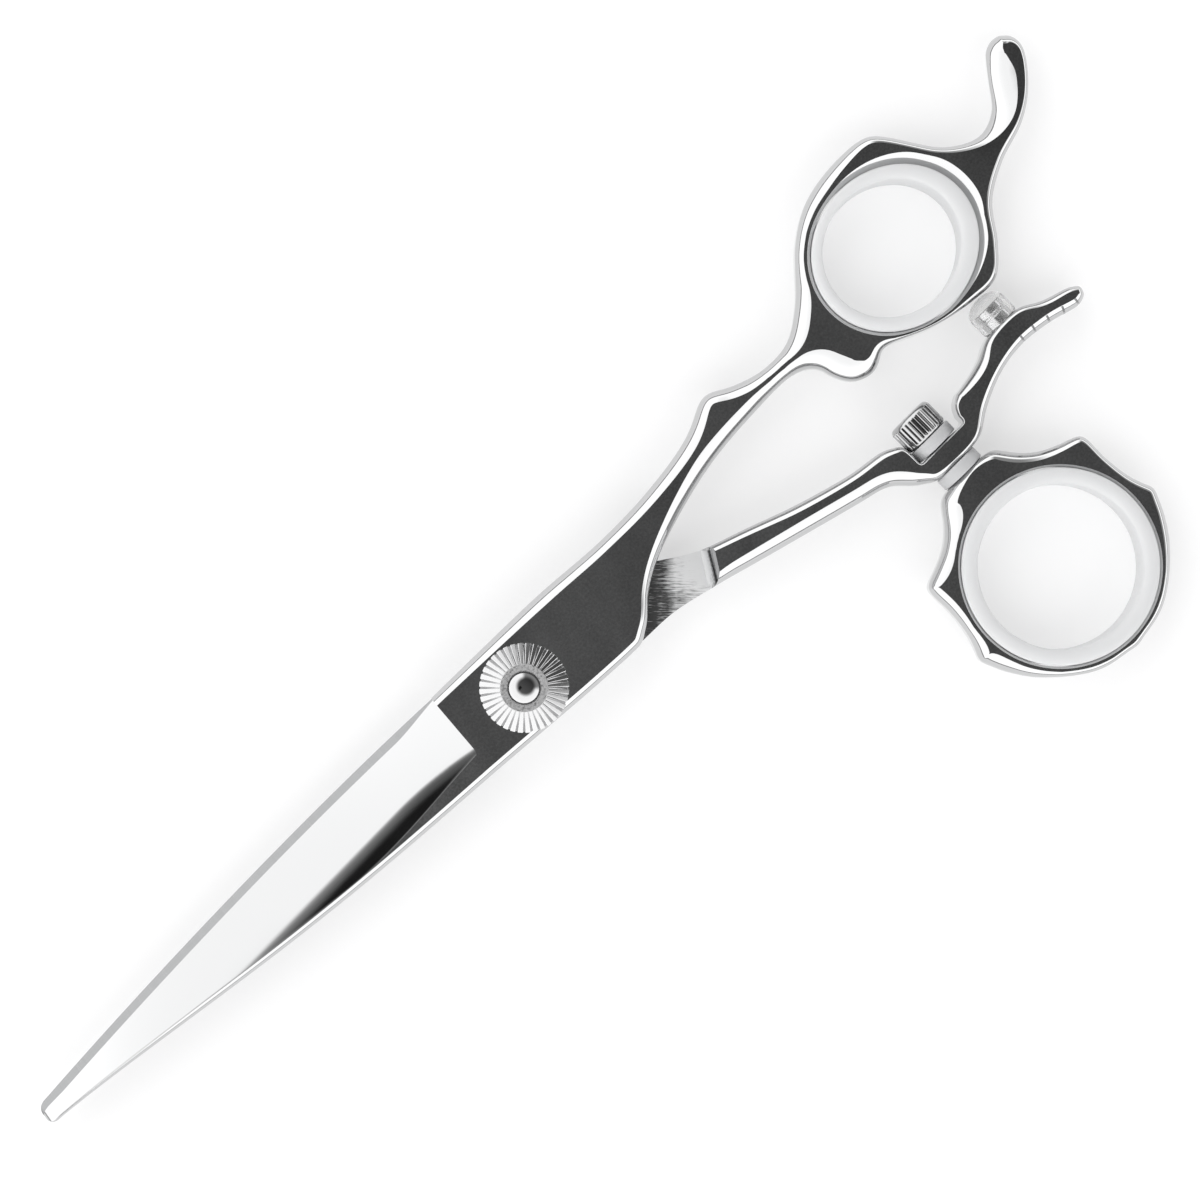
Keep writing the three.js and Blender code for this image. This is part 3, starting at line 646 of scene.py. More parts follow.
def frosted_silicone(name):
    n = Nodes(name)
    n.set(Base_Color=(0.72, 0.724, 0.73, 1), IOR=1.41, Transmission_Weight=0.12)
    n.set(Subsurface_Weight=0.5, Subsurface_Scale=0.002, Subsurface_Radius=(1, 1, 1))
    return n.textured((2600, 2600, 2600), 3, 0.36, 0.5, 0.12, 0.00003)


def clear_silicone(name):
    """Clear silicone, slightly clouded."""
    n = Nodes(name)
    n.set(Base_Color=(0.92, 0.92, 0.92, 1), IOR=1.34, Transmission_Weight=0.93)
    return n.textured((900, 900, 900), 2, 0.02, 0.09, 0.04, 0.00003)


def white_nylon(name):
    """Frosted white nylon with faint turning marks."""
    n = Nodes(name)
    n.set(Base_Color=(0.5, 0.503, 0.51, 1), IOR=1.5)
    n.set(Subsurface_Weight=0.25, Subsurface_Scale=0.001, Subsurface_Radius=(1, 1, 1))
    return n.textured((900, 6000, 900), 3, 0.4, 0.56, 0.15, 0.00002)


def brass(name):
    n = Nodes(name)
    n.set(Base_Color=(0.72, 0.56, 0.28, 1), Metallic=1.0)
    return n.textured((600, 600, 7000), 3, 0.2, 0.38, 0.2, 0.00002)


FORGED = [
    polished_steel("mirror_steel"), honed_steel("honed_edge"), ground_steel("ground_flat"),
    grained_steel("mirror_flats"),
]
DIAL_STEEL = turned_steel("dial_steel", 0.1)
SATIN = turned_steel("satin_steel", 0.42, 0.5)
SPRING = turned_steel("spring_steel", 0.3, 0.48)
FROSTED = frosted_silicone("frosted_silicone")
CLEAR = clear_silicone("clear_silicone")
NYLON = white_nylon("white_nylon")
BRASS = brass("turned_brass")


# ---- blades ----
BLADE_ROOT = HEEL - 1.3
CONVEX_STEPS = 48
HOLLOW_STEPS = 15
BLADE_THICKNESS = RICASSO_TOP - FINGER_INNER - 0.004
TIP_THICKNESS = 1.35
TIP_ROUND = 1.6  # how far back from the end the tip's rounding starts
HONED_WIDTH = 0.95
HONED_SLOPE = 0.45
RIDGE_WIDTH = 0.09
RIDGE_STEP = 0.014  # how far the ridge rises over its own width
LAND = 0.7  # width of the flat strips on each side of the inner hollow
HOLLOW_DEPTH = 0.32
BACK_EDGE = 0.06


def blade_lines(node, cutting_low):
    """The cutting edge and the spine as functions of x, from the CAD blade's own stations."""
    verts = np.array([v.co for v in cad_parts[node].data.vertices]) / MM
    verts = verts[verts[:, 0] > HEEL + 0.5]
    stations = np.unique(np.round(verts[:, 0], 2))
    rows = []
    for x in stations:
        ys = verts[np.abs(verts[:, 0] - x) < 0.02][:, 1]
        if x < TIP - 1.3 and np.ptp(ys) > 1:
            rows.append((x, ys.min(), ys.max()))
    rows = np.array(rows)
    low = np.poly1d(np.polyfit(rows[:, 0], rows[:, 1], 4))
    high = np.poly1d(np.polyfit(rows[:, 0], rows[:, 2], 4))
    return (low, high) if cutting_low else (high, low)


def hollow_share(x, edge_at, spine_at):
    """Where the hollow beside the ridge begins, as a share of the upper blade's width."""
    line = -0.3 + 0.022 * max(x - 20, 0) + 0.0095 * max(20 - x, 0) ** 2
    return (line - edge_at(x)) / (spine_at(x) - edge_at(x))


def risen(slope):
    """Heights at evenly spaced points, from the slopes there."""
    return np.concatenate([[0], np.cumsum((slope[1:] + slope[:-1]) / 2)])


def face_heights(span, hollow, rise):
    """Heights across the convex face, which lies down past the hollow line."""
    offset = np.linspace(0, span, CONVEX_STEPS + 1)
    share = smoothstep(hollow - 0.4, hollow + 0.25, offset)
    lying = np.maximum(0.155 - 0.055 * (offset - hollow), 0.05) * share
    convex = (1.15 - 0.15 * np.clip(offset / hollow, 0, 1)) * (1 - share)
    lain, bulged = (risen(slope) * span / CONVEX_STEPS for slope in (lying, convex))
    return offset, lain + bulged * (rise - lain[-1]) / bulged[-1]


def tip_lines(x, edge_at, spine_at):
    """Edge and spine at x, drawn together round the tip, and the share of the width left."""
    run = min(x, TIP - TIP_ROUND)
    edge, spine = edge_at(run), spine_at(run)
    whole = abs(spine - edge)
    t = (x - run) / TIP_ROUND
    middle = mix(edge, spine, 0.55)
    edge = mix(edge, middle, 0.8 * (1 - math.sqrt(1 - t ** 2.6)))
    spine = mix(spine, middle, 0.8 * (1 - math.sqrt(1 - t ** 3.2)))
    return edge, spine, abs(spine - edge) / whole


def outer_points(x, width, hollow_at, shrink):
    """The outer side from edge to spine: honed strip, convex face, ridge, facet and spine bevel."""
    along = np.clip((x - HEEL) / (TIP - HEEL), 0, 1)
    thick = mix(BLADE_THICKNESS, TIP_THICKNESS, along ** 0.9) * shrink
    strip = min(mix(0.1, HONED_WIDTH, smoothstep(HEEL - 2, HEEL + 7, x)), 0.3 * width)
    strip_rise = HONED_SLOPE * strip
    bevel_width = min(mix(0.85, 0.5, along), 0.09 * width + 0.02)
    bevel_height = mix(1.25, 0.8, along) * shrink
    ridge = min(mix(0.70, 0.925, smoothstep(2, 30, x)) * width, width - bevel_width - 0.02)
    hollow = max(hollow_at * width - strip, 0.1)
    offsets, heights = face_heights(ridge - RIDGE_WIDTH - strip, hollow, thick - RIDGE_STEP - strip_rise)
    points = [(0, 0, 0), (strip, strip_rise, HONED)]
    for offset, height in zip(offsets[1:], heights[1:]):
        points.append((strip + offset, strip_rise + height, POLISHED))
    points += [(ridge, thick, POLISHED), (width - bevel_width, thick, FLAT)]
    across, up = bevel_curve()
    for out, rise in zip(across[-2::-1], up[-2::-1]):
        points.append((width - bevel_width * out, thick - bevel_height * (1 - rise), POLISHED))
    return points


def inner_points(x, width):
    """The inner side from the spine back to the edge, hollow between two flat lands."""
    land = min(LAND, 0.22 * width)
    depth = HOLLOW_DEPTH * smoothstep(0, 9, x - HEEL + 1) * min(1, width / 4)
    points = [(width, BACK_EDGE, POLISHED), (width - BACK_EDGE, 0, POLISHED)]
    for share in np.linspace(0, 1, HOLLOW_STEPS):
        points.append((mix(width - land, land, share), depth * math.sin(math.pi * share), GROUND))
    return points


def blade_section(x, edge_at, spine_at, hollow_at, side):
    """One closed section, with the finish of the skin from each point to the next."""
    edge, spine, shrink = tip_lines(x, edge_at, spine_at)
    width = abs(spine - edge)
    points = outer_points(x, width, hollow_at, shrink) + inner_points(x, width)
    away = math.copysign(1, spine - edge)
    level = FINGER_INNER if side > 0 else THUMB_INNER
    rows = [(x, edge + away * y, level + side * rise) for y, rise, _ in points]
    return np.array(rows), [mark for _, _, mark in points[1:]] + [GROUND]


def blade(name, node, side):
    """A blade whose outer face looks up (side 1) or down (side -1)."""
    edge_at, spine_at = blade_lines(node, side > 0)
    upper = blade_lines("finger_blade", True)
    rounding = np.sin(np.linspace(0, math.pi / 2, 12)[1:])
    stations = np.concatenate([
        [BLADE_ROOT],
        np.linspace(HEEL, HEEL + 4, 12),
        np.linspace(HEEL + 4, TIP - TIP_ROUND, 90)[1:],
        TIP - TIP_ROUND * (1 - rounding) - 0.02,
    ])
    made = [blade_section(x, edge_at, spine_at, hollow_share(x, *upper), side) for x in stations]
    return loft(name, [rows for rows, _ in made], FORGED, made[0][1])


# ---- the two halves ----
FINGER_WIDTHS = [
    (8.2, -6.65, 1.1), (-8, -6.4, 1.45), (-18, -5.72, 1.3), (-26, -5.95, 1.45), (-33, -7.1, 1.6),
    (-37.8, -8.95, 1.3), (-41.7, -7.33, 1.5), (-46, -6.35, 1.6), (-50, -7, 1.9), (-54, -10.2, 1.7),
    (-58, -14.2, 2), (-62, -16.5, 1.6), (-68, -17.4, 1.3), (-72.2, -16.7, 0.9), (-74.5, -13.8, 0.75),
    (-77.5, -9.7, 0.8), (-81.2, -7.8, 1.1), (-83.6, -8.3, 2.6), (-87, -12, 3.1), (-90.3, -14.8, 2.6),
    (-92.3, -12.3, 0.5), (-90, -8.5, 0.45), (-81, -3.9, 0.7), (-77, -1.5, 0.8), (-74, 2.4, 0.7),
    (-71, 5, 0.6), (-65, 4.7, 0.5), (-60, 3.2, 0.6), (-56.5, 1.7, 0.8), (-54, 2.7, 1.6),
    (-51.5, 2.1, 2.4), (-50, 0, 2.6), (-49.3, -2.2, 2.4), (-47, -3.5, 1.2), (-40, -3.6, 1.5),
    (-33, -3, 1.7), (-27, -1.5, 1.4), (-21, 0.45, 0.95), (-15.3, 4.55, 0.8), (-13, 5.9, 0.9),
    (0, 5.2, 0.9), (8.2, 4.55, 0.85), (13, 4.1, 0.85), (13, -6.8, 1.1),
]
THUMB_WIDTHS = [
    (8.2, -5.85, 0.8), (-11, -5.3, 0.9), (-18, -1.6, 0.9), (-21.7, 1, 0.5), (-25, 3, 0.7),
    (-30, 4.8, 0.8), (-36.7, 7.2, 0.9), (-43.3, 9.07, 0.8), (-48.3, 10, 0.8), (-49.9, 11.2, 0.5),
    (-49.9, 13.8, 0.2), (-56.8, 13.8, 0.2), (-56.8, 11.4, 0.3), (-59.5, 11.05, 0.9), (-62.5, 10.4, 1.2),
    (-65.4, 9.15, 0.6), (-70.2, 9.15, 0.5), (-73.1, 10.6, 0.7), (-76.5, 11.8, 0.55), (-77.4, 12.8, 0.5),
    (-76.2, 13.85, 0.9), (-72, 12.95, 0.95), (-68, 12.45, 0.85), (-64, 13, 0.7), (-60, 14.67, 0.8),
    (-57.2, 16.4, 0.7), (-56, 16.65, 0.4), (-50, 16.65, 0.7), (-48, 15.4, 1.5), (-45.7, 13.3, 1.6),
    (-42, 12.2, 1.6), (-36.7, 10.8, 1.6), (-30, 9, 1.5), (-26, 8, 1.4), (-22, 6.9, 0.8),
    (-12, 5.75, 0.7), (8.2, 4.2, 0.8), (13, 4.2, 0.8), (13, -6, 0.8),
]
ROOT = 14  # how far forward the forging runs before the shoulder is cut
FINGER_SHOULDER = [(8.2, -9), (9, 0.9), (9.12, 1.4), (9.4, 1.7), (9.9, 1.8), (9.9, 9), (30, 9), (30, -9)]
THUMB_SHOULDER = [(8.2, 9), (9, -1.9), (9.12, -2.4), (9.4, -2.7), (9.9, -2.8), (9.9, -9), (30, -9), (30, 9)]
TANG_START, TANG_END, TANG_THINNING = -77, -92.4, 0.8
FORK_CORNER = (-56.8, 11.4)
FORK_RADIUS = 1.5
FINGER_STEP = ((-25.5, -9), (-22.9, 9))
THUMB_STEP = ((-33.1, -9), (-21.5, 9))
BUSH_RADIUS = 2.7
DIAL_SEAT_RADIUS, DIAL_SEAT = 4.0, 5.0
WASHER_SEAT_RADIUS, WASHER_SEAT_DEPTH = 4.6, 0.3
BOLT_RADIUS = 2.1
BOLT_HEAD_RADIUS, BOLT_HEAD_SEAT = 3.75, 1.5
SWIVEL_BORE, BUMPER_BORE, STUD_BORE = 1.8, 1.2, 1.3
NOTCHES = np.linspace(-75.7, -68.1, 5)
NOTCH_HALF = 0.13


def handle_outline(node, height, low_at, high_at):
    """A half's outline, run on past the heel along its two sides."""
    loop = bare(counterclockwise(slice_loops(node, height)[0]))
    behind = loop[:, 0] < HEEL - 0.4
    start = np.flatnonzero(behind & ~np.roll(behind, 1))[0]
    kept = np.roll(loop, -start, 0)[:behind.sum()]
    ahead = (HEEL + 1, (HEEL + ROOT) / 2, ROOT)
    front = [(x, low_at(x)) for x in ahead] + [(x, high_at(x)) for x in ahead[::-1]]
    return rounded(refined(np.vstack([kept, front])), 2)


def fork_rounded(loop):
    """Rounds the lever's corner beside the knob more than the rest."""
    near = (np.hypot(*(loop - FORK_CORNER).T) < FORK_RADIUS)[:, None]
    for _ in range(60):
        loop = np.where(near, rounded(loop, 1), loop)
    return loop


def prism(plan):
    """An upright prism, taller than the whole object."""
    return loft("prism", [np.array([(x, y, z) for x, y in plan]) for z in (-2, 10)], FORGED)


def stepped(ricasso, handle, x):
    """Height of a flat at x, where it steps from the ricasso's level to the handle's."""
    return mix(ricasso, handle, smoothstep(-22, -36, x))


def tang(x):
    """How much the tang has thinned on each side."""
    return TANG_THINNING * smoothstep(TANG_START, TANG_END, x)


def ground_away(step, side):
    """What the wheel took away over an inner face, up to its curved step."""
    face = MIDDLE - side * BLADE_GAP
    (x0, y0), (x1, y1) = step
    sections = []
    for t in np.linspace(0, 1, 25):
        x, y = mix(x0, x1, t), mix(y0, y1, t)
        rows = [(HEEL + 3, y, face), (x, y, face)]
        for a in np.linspace(0, 1, 9)[1:]:
            rows.append((x - 1.9 * a ** 1.5, y, face + side * 2.75 * a))
        rows += [(x - 4, y, face + side * 8), (HEEL + 3, y, face + side * 8)]
        sections.append(np.array(rows))
    return loft("ground_away", sections, FORGED, [GROUND] + [POLISHED] * (len(sections[0]) - 1))


def level_at(height):
    return lambda x: np.full(np.shape(x), height)


def drill(radius, start, end, axis=None):
    profile = [(0, start), (radius, start), (radius, end), (0, end)]
    return turned("drill", profile, FORGED, 64, axis)


def finger_half():
    spine_at = blade_lines("finger_blade", True)[1]
    height = (FINGER_INNER + RICASSO_TOP) / 2
    outline = handle_outline("finger_blade", height, lambda x: -6.7, spine_at)
    ring = ellipse(slice_loops("finger_blade", height)[1])
    from_rear = np.clip(np.cos(around(RING_POINTS)[::-1] - math.radians(190)), 0, 1)
    obj = forging(
        "finger_half", outline, [ring],
        lambda x: stepped(RICASSO_TOP, MIDDLE + HALF, x) - tang(x), lambda x: MIDDLE - HALF + tang(x),
        widths_along(outline, FINGER_WIDTHS), [0.35 + 1.15 * from_rear ** 1.3],
    )
    combine(obj, prism(FINGER_SHOULDER))
    combine(obj, ground_away(FINGER_STEP, -1))
    combine(obj, blade("blade_a", "finger_blade", 1), "UNION")
    combine(obj, drill(BUSH_RADIUS, 0, 9))
    combine(obj, drill(DIAL_SEAT_RADIUS, DIAL_SEAT, 9))
    combine(obj, drill(WASHER_SEAT_RADIUS, 0, FINGER_INNER + WASHER_SEAT_DEPTH))
    rides(obj, "finger_side", "finger_blade")


def notch(at, into):
    """A thin plate that files one groove across the lever's rolled edge."""
    ring = [
        (1.15, 0.55), (0.75, 0.95), (0.35, 1.75), (0.2, 3.4), (0.35, 5.05), (0.75, 5.85), (1.15, 6.25),
        (1.15, 8), (-2, 8), (-2, -1), (1.15, -1),
    ]
    way = np.array([-into[1], into[0]])
    sections = []
    for half in (-NOTCH_HALF, NOTCH_HALF):
        base = np.array(at) + way * half
        sections.append(np.array([(base[0] + into[0] * d, base[1] + into[1] * d, z) for d, z in ring]))
    return loft("notch", sections, FORGED, [HONED] * len(ring))


def thumb_half():
    spine_at = blade_lines("thumb_blade", False)[1]
    outline = fork_rounded(handle_outline("thumb_blade", 1.4, spine_at, lambda x: 4.3))
    obj = forging(
        "thumb_half", outline, [],
        level_at(MIDDLE + HALF), lambda x: stepped(RICASSO_BOTTOM, MIDDLE - HALF, x),
        widths_along(outline, THUMB_WIDTHS), [],
    )
    combine(obj, prism(THUMB_SHOULDER))
    combine(obj, ground_away(THUMB_STEP, 1))
    combine(obj, blade("blade_b", "thumb_blade", -1), "UNION")
    combine(obj, drill(BOLT_RADIUS, -1, 9))
    combine(obj, drill(BOLT_HEAD_RADIUS, -1, BOLT_HEAD_SEAT))
    combine(obj, drill(SWIVEL_BORE, 12, 18, (SWIVEL[0], MIDDLE)))
    combine(obj, drill(BUMPER_BORE, 8.15, 10.85, (BUMPER[0], MIDDLE)))
    normal = inward(outline)
    for x in NOTCHES:
        above = np.flatnonzero((np.abs(outline[:, 0] - x) < 0.3) & (outline[:, 1] > 12))
        i = above[np.argmin(np.abs(outline[above, 0] - x))]
        combine(obj, notch(outline[i], normal[i]))
    rides(obj, "thumb_side", "thumb_blade")


# ---- thumb ring ----
RING_WIDTHS = [
    (0, 18.3, 0.35), (2.9, 18.3, 0.8), (4.3, 18.8, 1.5), (5.4, 20.3, 1.5), (7.6, 22.4, 1.2),
    (12.2, 24.5, 0.8), (12.5, 28.7, 0.65), (13.9, 34.7, 0.9), (12.7, 37.7, 1), (10.4, 40.9, 1.05),
    (5.2, 44.9, 0.95), (0, 46.07, 0.85),
]
RING_SLICE = 1.6  # a height where the CAD ring's side wall is plain


def thumb_ring():
    loops = slice_loops("thumb_ring", RING_SLICE)
    outline = rounded(refined(loops[0]), 2)
    marks = []
    for side in (-1, 1):
        wider = 1.25 + 0.4 * side
        marks += [(SWIVEL[0] + side * out, y, width * wider) for out, y, width in RING_WIDTHS]
    obj = forging(
        "thumb_ring_metal", outline, [ellipse(loops[1])], level_at(MIDDLE + HALF), level_at(MIDDLE - HALF),
        widths_along(outline, marks), [np.full(RING_POINTS, 0.25)],
    )
    combine(obj, drill(STUD_BORE, 16.3, 20.6, (SWIVEL[0], MIDDLE)))
    rides(obj, "thumb_ring", "thumb_ring")


# ---- silicone inserts ----
INSERT_POINTS = 200
LIP = 0.55  # height of an insert's rounded lip
BELT = 0.15  # how far an insert's outer wall stays inside the ring's thickness


def insert_section(bottom, top):
    """An insert's section as the share of the way out from its hole, and the height."""
    turns = np.linspace(0, math.pi, 13)
    section = [(0.5 - 0.5 * math.cos(a), top - LIP + LIP * math.sin(a) ** 0.8) for a in turns]
    section += [(1.0, MIDDLE + HALF - BELT), (1.0, MIDDLE - HALF + BELT)]
    section += [(0.5 + 0.5 * math.cos(a), bottom + LIP - LIP * math.sin(a) ** 0.8) for a in turns]
    section += [(0.03 * (1 - abs(z - MIDDLE) / HALF), z) for z in np.linspace(bottom + 1, top - 1, 5)]
    return section


def insert(name, node, body):
    """A soft ring: rounded lips above and below, straight inside, and a belt inside the metal."""
    low, high = corners(node)
    centre, radii = (low + high)[:2] / 2, (high - low)[:2] / 2
    hole = slice_loops(node, MIDDLE)[1]
    hole_centre, hole_radii = (hole.min(0) + hole.max(0)) / 2, np.ptp(hole, axis=0) / 2
    section = insert_section(low[2], high[2])
    rows = []
    for turn in around(INSERT_POINTS):
        way = np.array([math.cos(turn), math.sin(turn)])
        inner, outer = hole_centre + hole_radii * way, centre + radii * way
        rows.append(np.array([(*mix(inner, outer, share), z) for share, z in section]))
    obj = loft(name, rows, [FROSTED], closed=True)
    rides(obj, body, node, 60)


# ---- pivot ----
FLUTES = 36
FLUTE_HALF = 0.2  # half a flute's width, as a share of the pitch
DIAL_FACE = 2.75  # outer radius of the dial's satin face
DIAL_WELL = 1.86  # radius of the well that the button sits in
WELL_DEPTH = 0.52
DIAL_BORE = 2.1
RIM_HEIGHT = 0.85
CROWN = 0.3  # how far the button's dome falls to its rim


def groove(turn, count, half):
    """How deep a turn lies, from 0 to 1, in one of count V grooves."""
    phase = (turn * count / (2 * math.pi)) % 1
    return max(0.0, 1 - abs(phase - 0.5) / half)


def flute_depth(turn, radius):
    deepest = mix(0.13, 0.34, (radius - DIAL_FACE) / (DIAL_HIGH[0] - DIAL_FACE))
    return groove(turn, FLUTES, FLUTE_HALF) * deepest


def dial_rows():
    """The dial's section from underneath over the rim to the well: kind, radius and height."""
    rim, base, top = DIAL_HIGH[0], DIAL_LOW[2], DIAL_HIGH[2]
    radii = [DIAL_FACE + 0.02, *np.linspace(DIAL_FACE + 0.12, rim - 0.12, 9), rim - 0.03, rim]
    rows = [("under", DIAL_BORE, base), ("under", rim - 0.3, base), ("wall", rim, base + 0.2)]
    for radius in radii[::-1]:
        down = (radius - DIAL_FACE) / (rim - DIAL_FACE)
        rows.append(("cone", radius, mix(top - 0.12, base + RIM_HEIGHT, down)))
    rows += [("flat", DIAL_FACE, top - 0.02), ("flat", DIAL_FACE - 0.06, top)]
    rows += [("flat", DIAL_WELL + 0.07, top - 0.03), ("flat", DIAL_WELL, top - 0.1)]
    rows += [("flat", DIAL_WELL, top - WELL_DEPTH), ("flat", DIAL_BORE, top - WELL_DEPTH)]
    return rows


def dial():
    """The dial nut: a conical flange cut by V flutes, a satin face and a serrated rim."""
    facets = FLUTES * 16
    verts, faces, marks = [], [], []
    rows = dial_rows()
    for kind, radius, height in rows:
        marks += [int(kind == "flat" and height > DIAL_HIGH[2] - 0.4)] * facets
        for turn in around(facets):
            depth = flute_depth(turn, radius)
            serrated = kind == "wall" or (kind == "cone" and radius > DIAL_HIGH[0] - 0.05)
            r = radius - 0.6 * depth if serrated else radius
            z = height - depth if kind == "cone" else height
            verts.append((r * math.cos(turn), r * math.sin(turn), z))
    for i in range(len(rows)):
        faces += band(i * facets, (i + 1) % len(rows) * facets, facets)
    obj = make_object("dial_nut", verts, faces, [DIAL_STEEL, SATIN], marks)
    rides(obj, "dial", "tension_dial", 18)


def button():
    """The domed button on its screw."""
    low, high = corners("dial_lock_screw")
    edge, top, under = high[0] * 0.97, high[2], 7.58
    crown = [(edge * share, top - CROWN * share ** 2.2) for share in np.linspace(1, 0, 20)]
    profile = [(0, low[2]), (0.6, low[2]), (0.7, low[2] + 0.1), (0.7, under), (edge, under)] + crown
    obj = turned("dial_button", profile, [turned_steel("button_steel", 0.04, 0.58)])
    rides(obj, "thumb_side", "dial_lock_screw")


def bolt():
    """The pivot bolt: flat head, shank, three thread crests and the socket for the button's screw."""
    (head, _, top), shank, root = BOLT_HIGH, 2.0, 1.85
    profile = [(0, 0), (head - 0.35, 0), (head, 0.35), (head, 1.4), (shank, 1.4)]
    profile += [(shank, 6.4), (root, 6.5), (shank, 6.6), (root, 6.75), (shank, 6.9), (root, 7.05)]
    profile += [(shank, 7.2), (1.9, top), (0.8, top), (0.8, top - 1.8), (0, top - 1.8)]
    obj = turned("pivot_screw", eased(profile, 0.15), [DIAL_STEEL])
    rides(obj, "thumb_side", "pivot_bolt")


# ---- swivel and bumper ----
KNOB_RIBS = 30
RIB_HALF = 0.27  # half a groove's width, as a share of the pitch
RIB_DEPTH = 0.16


def knob():
    """The knurled cap nut: grooves between a rounded cap and a plain collar."""
    start, end = KNOB_LOW[1], KNOB_HIGH[1]
    radius = (KNOB_HIGH[0] - KNOB_LOW[0]) / 2

    def rib(r, height, turn):
        if height < start + 0.5 or height > end - 0.25 or r < radius - 0.3:
            return r
        return r - RIB_DEPTH * groove(turn, KNOB_RIBS, RIB_HALF)

    profile = [
        (0, start + 0.02), (1.2, start), (radius - 0.55, start + 0.03), (radius - 0.3, start + 0.12),
        (radius - 0.12, start + 0.3), (radius - 0.04, start + 0.49), (radius, start + 0.56),
    ]
    profile += [(radius, z) for z in np.linspace(start + 0.7, end - 0.3, 6)]
    profile += [
        (radius - 0.04, end - 0.22), (radius - 0.1, end - 0.08), (radius - 0.25, end),
        (1.3, end), (1.3, start + 0.7), (0, start + 0.7),
    ]
    steel = turned_steel("knob_steel", 0.07, 0.47)
    obj = turned("knurled_knob", profile, [steel], KNOB_RIBS * 12, SWIVEL, rib)
    rides(obj, "knob", "swivel_knob", 30)


def washer(name, node):
    low, high = corners(node)
    radius, bore, edge = (high[0] - low[0]) / 2, 1.3, 0.14
    half = [(bore, 0.05), (bore + 0.05, 0), (radius - edge, 0)]
    half += [(radius - edge * 0.3, edge * 0.3), (radius, edge)]
    profile = [(r, low[1] + rise) for r, rise in half] + [(r, high[1] - rise) for r, rise in half[::-1]]
    obj = turned(name, profile, [NYLON], 96, SWIVEL)
    rides(obj, "thumb_ring", node, 50)


def bumper_pad():
    """The clear cap, domed at its tip."""
    tip, top, inner = PAD_LOW[1], PAD_HIGH[1], 1.98
    radius = (PAD_HIGH[0] - PAD_LOW[0]) / 2
    turns = np.linspace(0, math.pi / 2, 12)
    profile = [(radius * 0.97 * math.sin(a), tip + 1.3 * (1 - math.cos(a))) for a in turns]
    profile += [
        (radius, tip + 1.5), (radius, top - 0.2), (radius - 0.06, top - 0.05), (radius - 0.2, top),
        (inner, top), (inner, tip + 1.42), (0, tip + 1.42),
    ]
    pad = turned("bumper_cap", profile, [CLEAR], 96, BUMPER)
    rides(pad, "thumb_side", "bumper_pad", 50)


def bumper_stud():
    """The steel core inside the cap, with a groove that holds it."""
    tip, top = PAD_LOW[1], PAD_HIGH[1]
    end = corners("bumper_stud")[1][1]
    core = eased([
        (0, tip + 1.5), (1.9, tip + 1.5), (1.9, tip + 2.3), (1.75, tip + 2.45), (1.75, tip + 2.6),
        (1.9, tip + 2.75), (1.9, top), (1.1, top), (1.1, end), (0, end),
    ], 0.1)
    stud = turned("bumper_pin", core, [DIAL_STEEL], 72, BUMPER)
    rides(stud, "thumb_side", "bumper_stud")


def inner_parts():
    """CAD pieces that stay as they are, with their own finishes."""
    looks = {
        "pivot_bush": BRASS, "ride_washer": NYLON, "wave_spring": SPRING, "thrust_washer": NYLON,
        "click_plate": SPRING, "swivel_stud": DIAL_STEEL, "swivel_bush": NYLON,
    }
    for node, material in looks.items():
        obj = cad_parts[node]
        obj.data.materials.clear()
        obj.data.materials.append(material)


# ---- studio ----
CARD_LEAN = math.radians(6)  # how far the dark card's middle leans from straight overhead
CARD_CORE = math.radians(17)  # full darkness reaches this far from its middle
CARD_EDGE = math.radians(31)
DEEP_LEVEL = 0.015  # the light in the card's darkest stripe
SHADE_LEVEL = 0.11  # the light in the dark side and at the horizon


class Sky(Nodes):
    """Arithmetic on the direction that a ray of light comes from."""

    def __init__(self):
        world = bpy.data.worlds.new("studio")
        bpy.context.scene.world = world
        world.use_nodes = True
        self.tree = world.node_tree
        coordinates = self.add("ShaderNodeTexCoord")
        split = self.add("ShaderNodeSeparateXYZ", Vector=coordinates.outputs["Generated"])
        self.x, self.y, self.z = split.outputs

    def soft(self, value, start, end, low=0.0, high=1.0):
        """A smooth step from low to high as value goes from start to end."""
        node = self.add("ShaderNodeMapRange", set_interpolation_type="SMOOTHSTEP")
        return self.feed(node, (value, start, end, low, high))


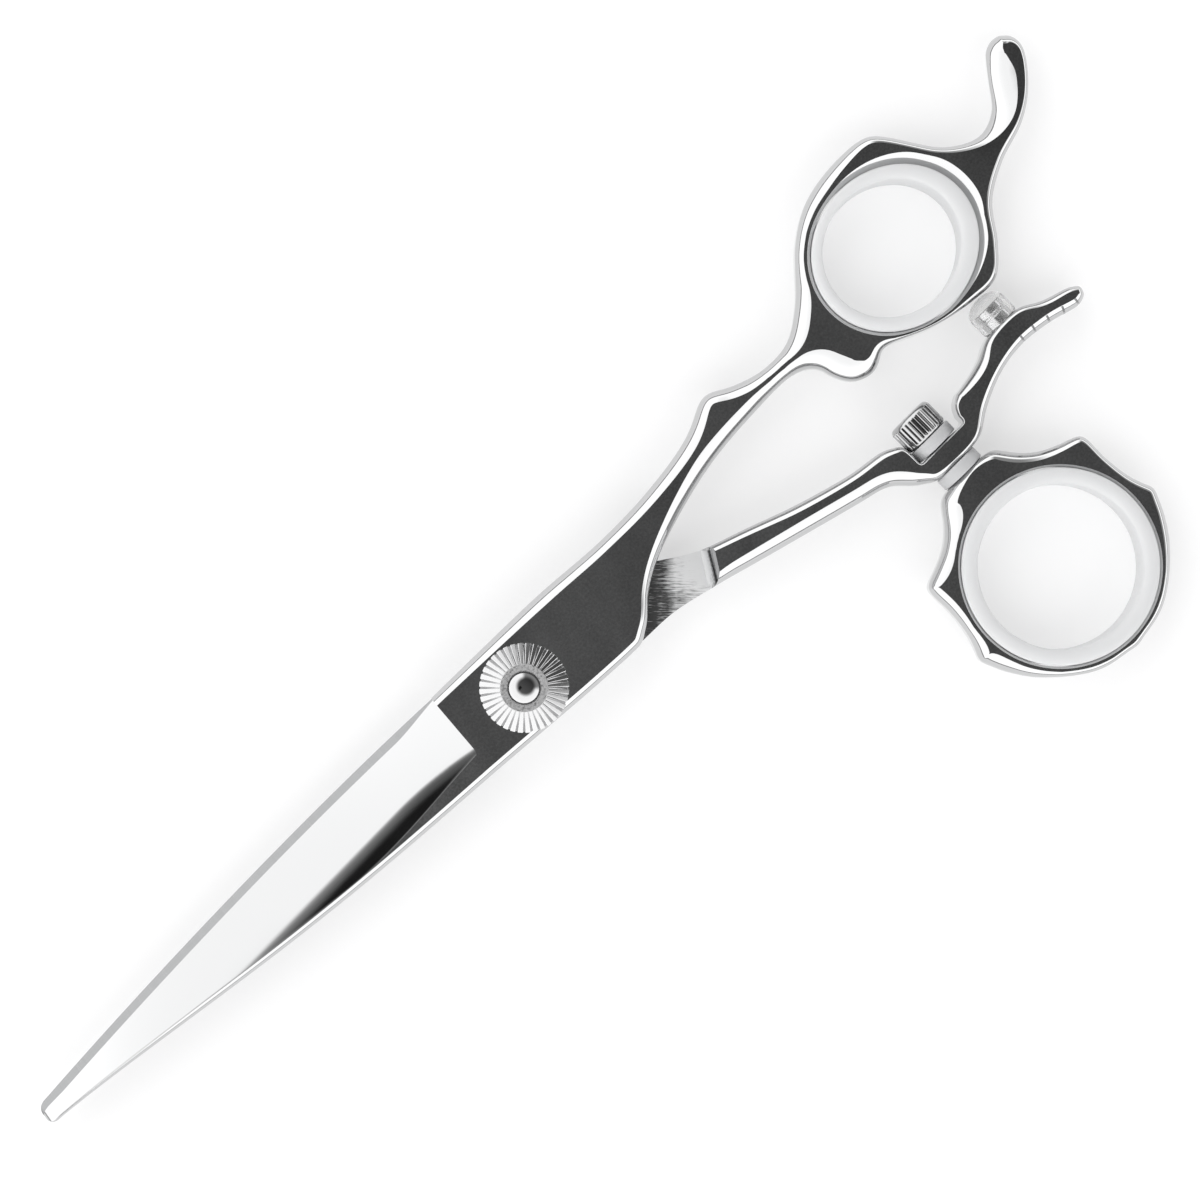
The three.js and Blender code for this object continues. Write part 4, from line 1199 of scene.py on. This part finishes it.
def world_light():
    """A bright dome with a dark card overhead, a dark side behind the handles and a dark horizon."""
    sky = Sky()
    dome = sky.soft(sky.z, 0.88, 0.6, 1.55, 1.8)
    level = sky.math("MULTIPLY_ADD", sky.x, 0.14, 0.105)
    deep = sky.math("MULTIPLY", sky.soft(sky.y, -0.03, -0.08), sky.soft(sky.y, -0.22, -0.14))
    deep = sky.math("MULTIPLY", deep, sky.soft(sky.x, 0.05, 0.08))
    card_level = sky.blend(level, DEEP_LEVEL, deep)
    upright = sky.math("MULTIPLY", sky.z, math.cos(CARD_LEAN))
    towards = sky.math("SUBTRACT", upright, sky.math("MULTIPLY", sky.x, math.sin(CARD_LEAN)))
    card = sky.soft(towards, math.cos(CARD_EDGE), math.cos(CARD_CORE))
    reach = sky.math("SQRT", sky.math("SUBTRACT", 1.0001, sky.math("MULTIPLY", sky.z, sky.z)))
    behind = sky.math("DIVIDE", sky.math("MULTIPLY", sky.x, -1.0), reach)
    side = sky.math("MULTIPLY", sky.soft(behind, 0.5, 0.8), sky.soft(sky.z, 0.30, 0.45, 0.0, 0.85))
    horizon = sky.soft(sky.z, 0.17, 0.1, 0.0, 0.85)
    shade = sky.math("MAXIMUM", side, horizon)
    light = sky.blend(sky.blend(dome, SHADE_LEVEL, shade), card_level, card)
    background = sky.tree.nodes["Background"]
    background.inputs["Color"].default_value = (1, 1, 1, 1)
    sky.tree.links.new(light, background.inputs["Strength"])


def floor():
    """A wide pale floor, just under the pivot bolt's head."""
    n = Nodes("pale_floor")
    n.set(Base_Color=(0.5, 0.5, 0.503, 1), Roughness=0.9, Specular_IOR_Level=0.1)
    n.set(Emission_Color=(1, 1, 1, 1), Emission_Strength=0.5)
    size, level = 3000, -0.02
    square = [(x * size, y * size, level) for x, y in ((-1, -1), (1, -1), (1, 1), (-1, 1))]
    obj = make_object("floor", square, [(0, 1, 2, 3)], [n.material])
    if obj.data.polygons[0].normal.z < 0:
        obj.data.flip_normals()


def camera():
    """Straight down from the dial side, with the blades to the lower left."""
    lens, frame_width, sensor = 100, 137.5, 36
    centre = Vector((-13.13, -0.97, MIDDLE)) * MM
    data = bpy.data.cameras.new("camera")
    data.lens = lens
    data.sensor_width = sensor
    data.clip_start = 0.01
    obj = link("camera", data)
    distance = frame_width * MM * lens / sensor
    obj.location = centre + Vector((0, 0, distance))
    obj.rotation_euler = (0, 0, math.radians(135))
    bpy.context.scene.camera = obj


world_light()
floor()
camera()
finger_half()
thumb_half()
thumb_ring()
insert("finger_grip", "finger_insert", "finger_side")
insert("thumb_grip", "thumb_insert", "thumb_ring")
dial()
button()
bolt()
knob()
washer("outer_washer", "swivel_washer_outer")
washer("inner_washer", "swivel_washer_inner")
bumper_pad()
bumper_stud()
inner_parts()
bpy.context.scene.view_settings.view_transform = "Standard"
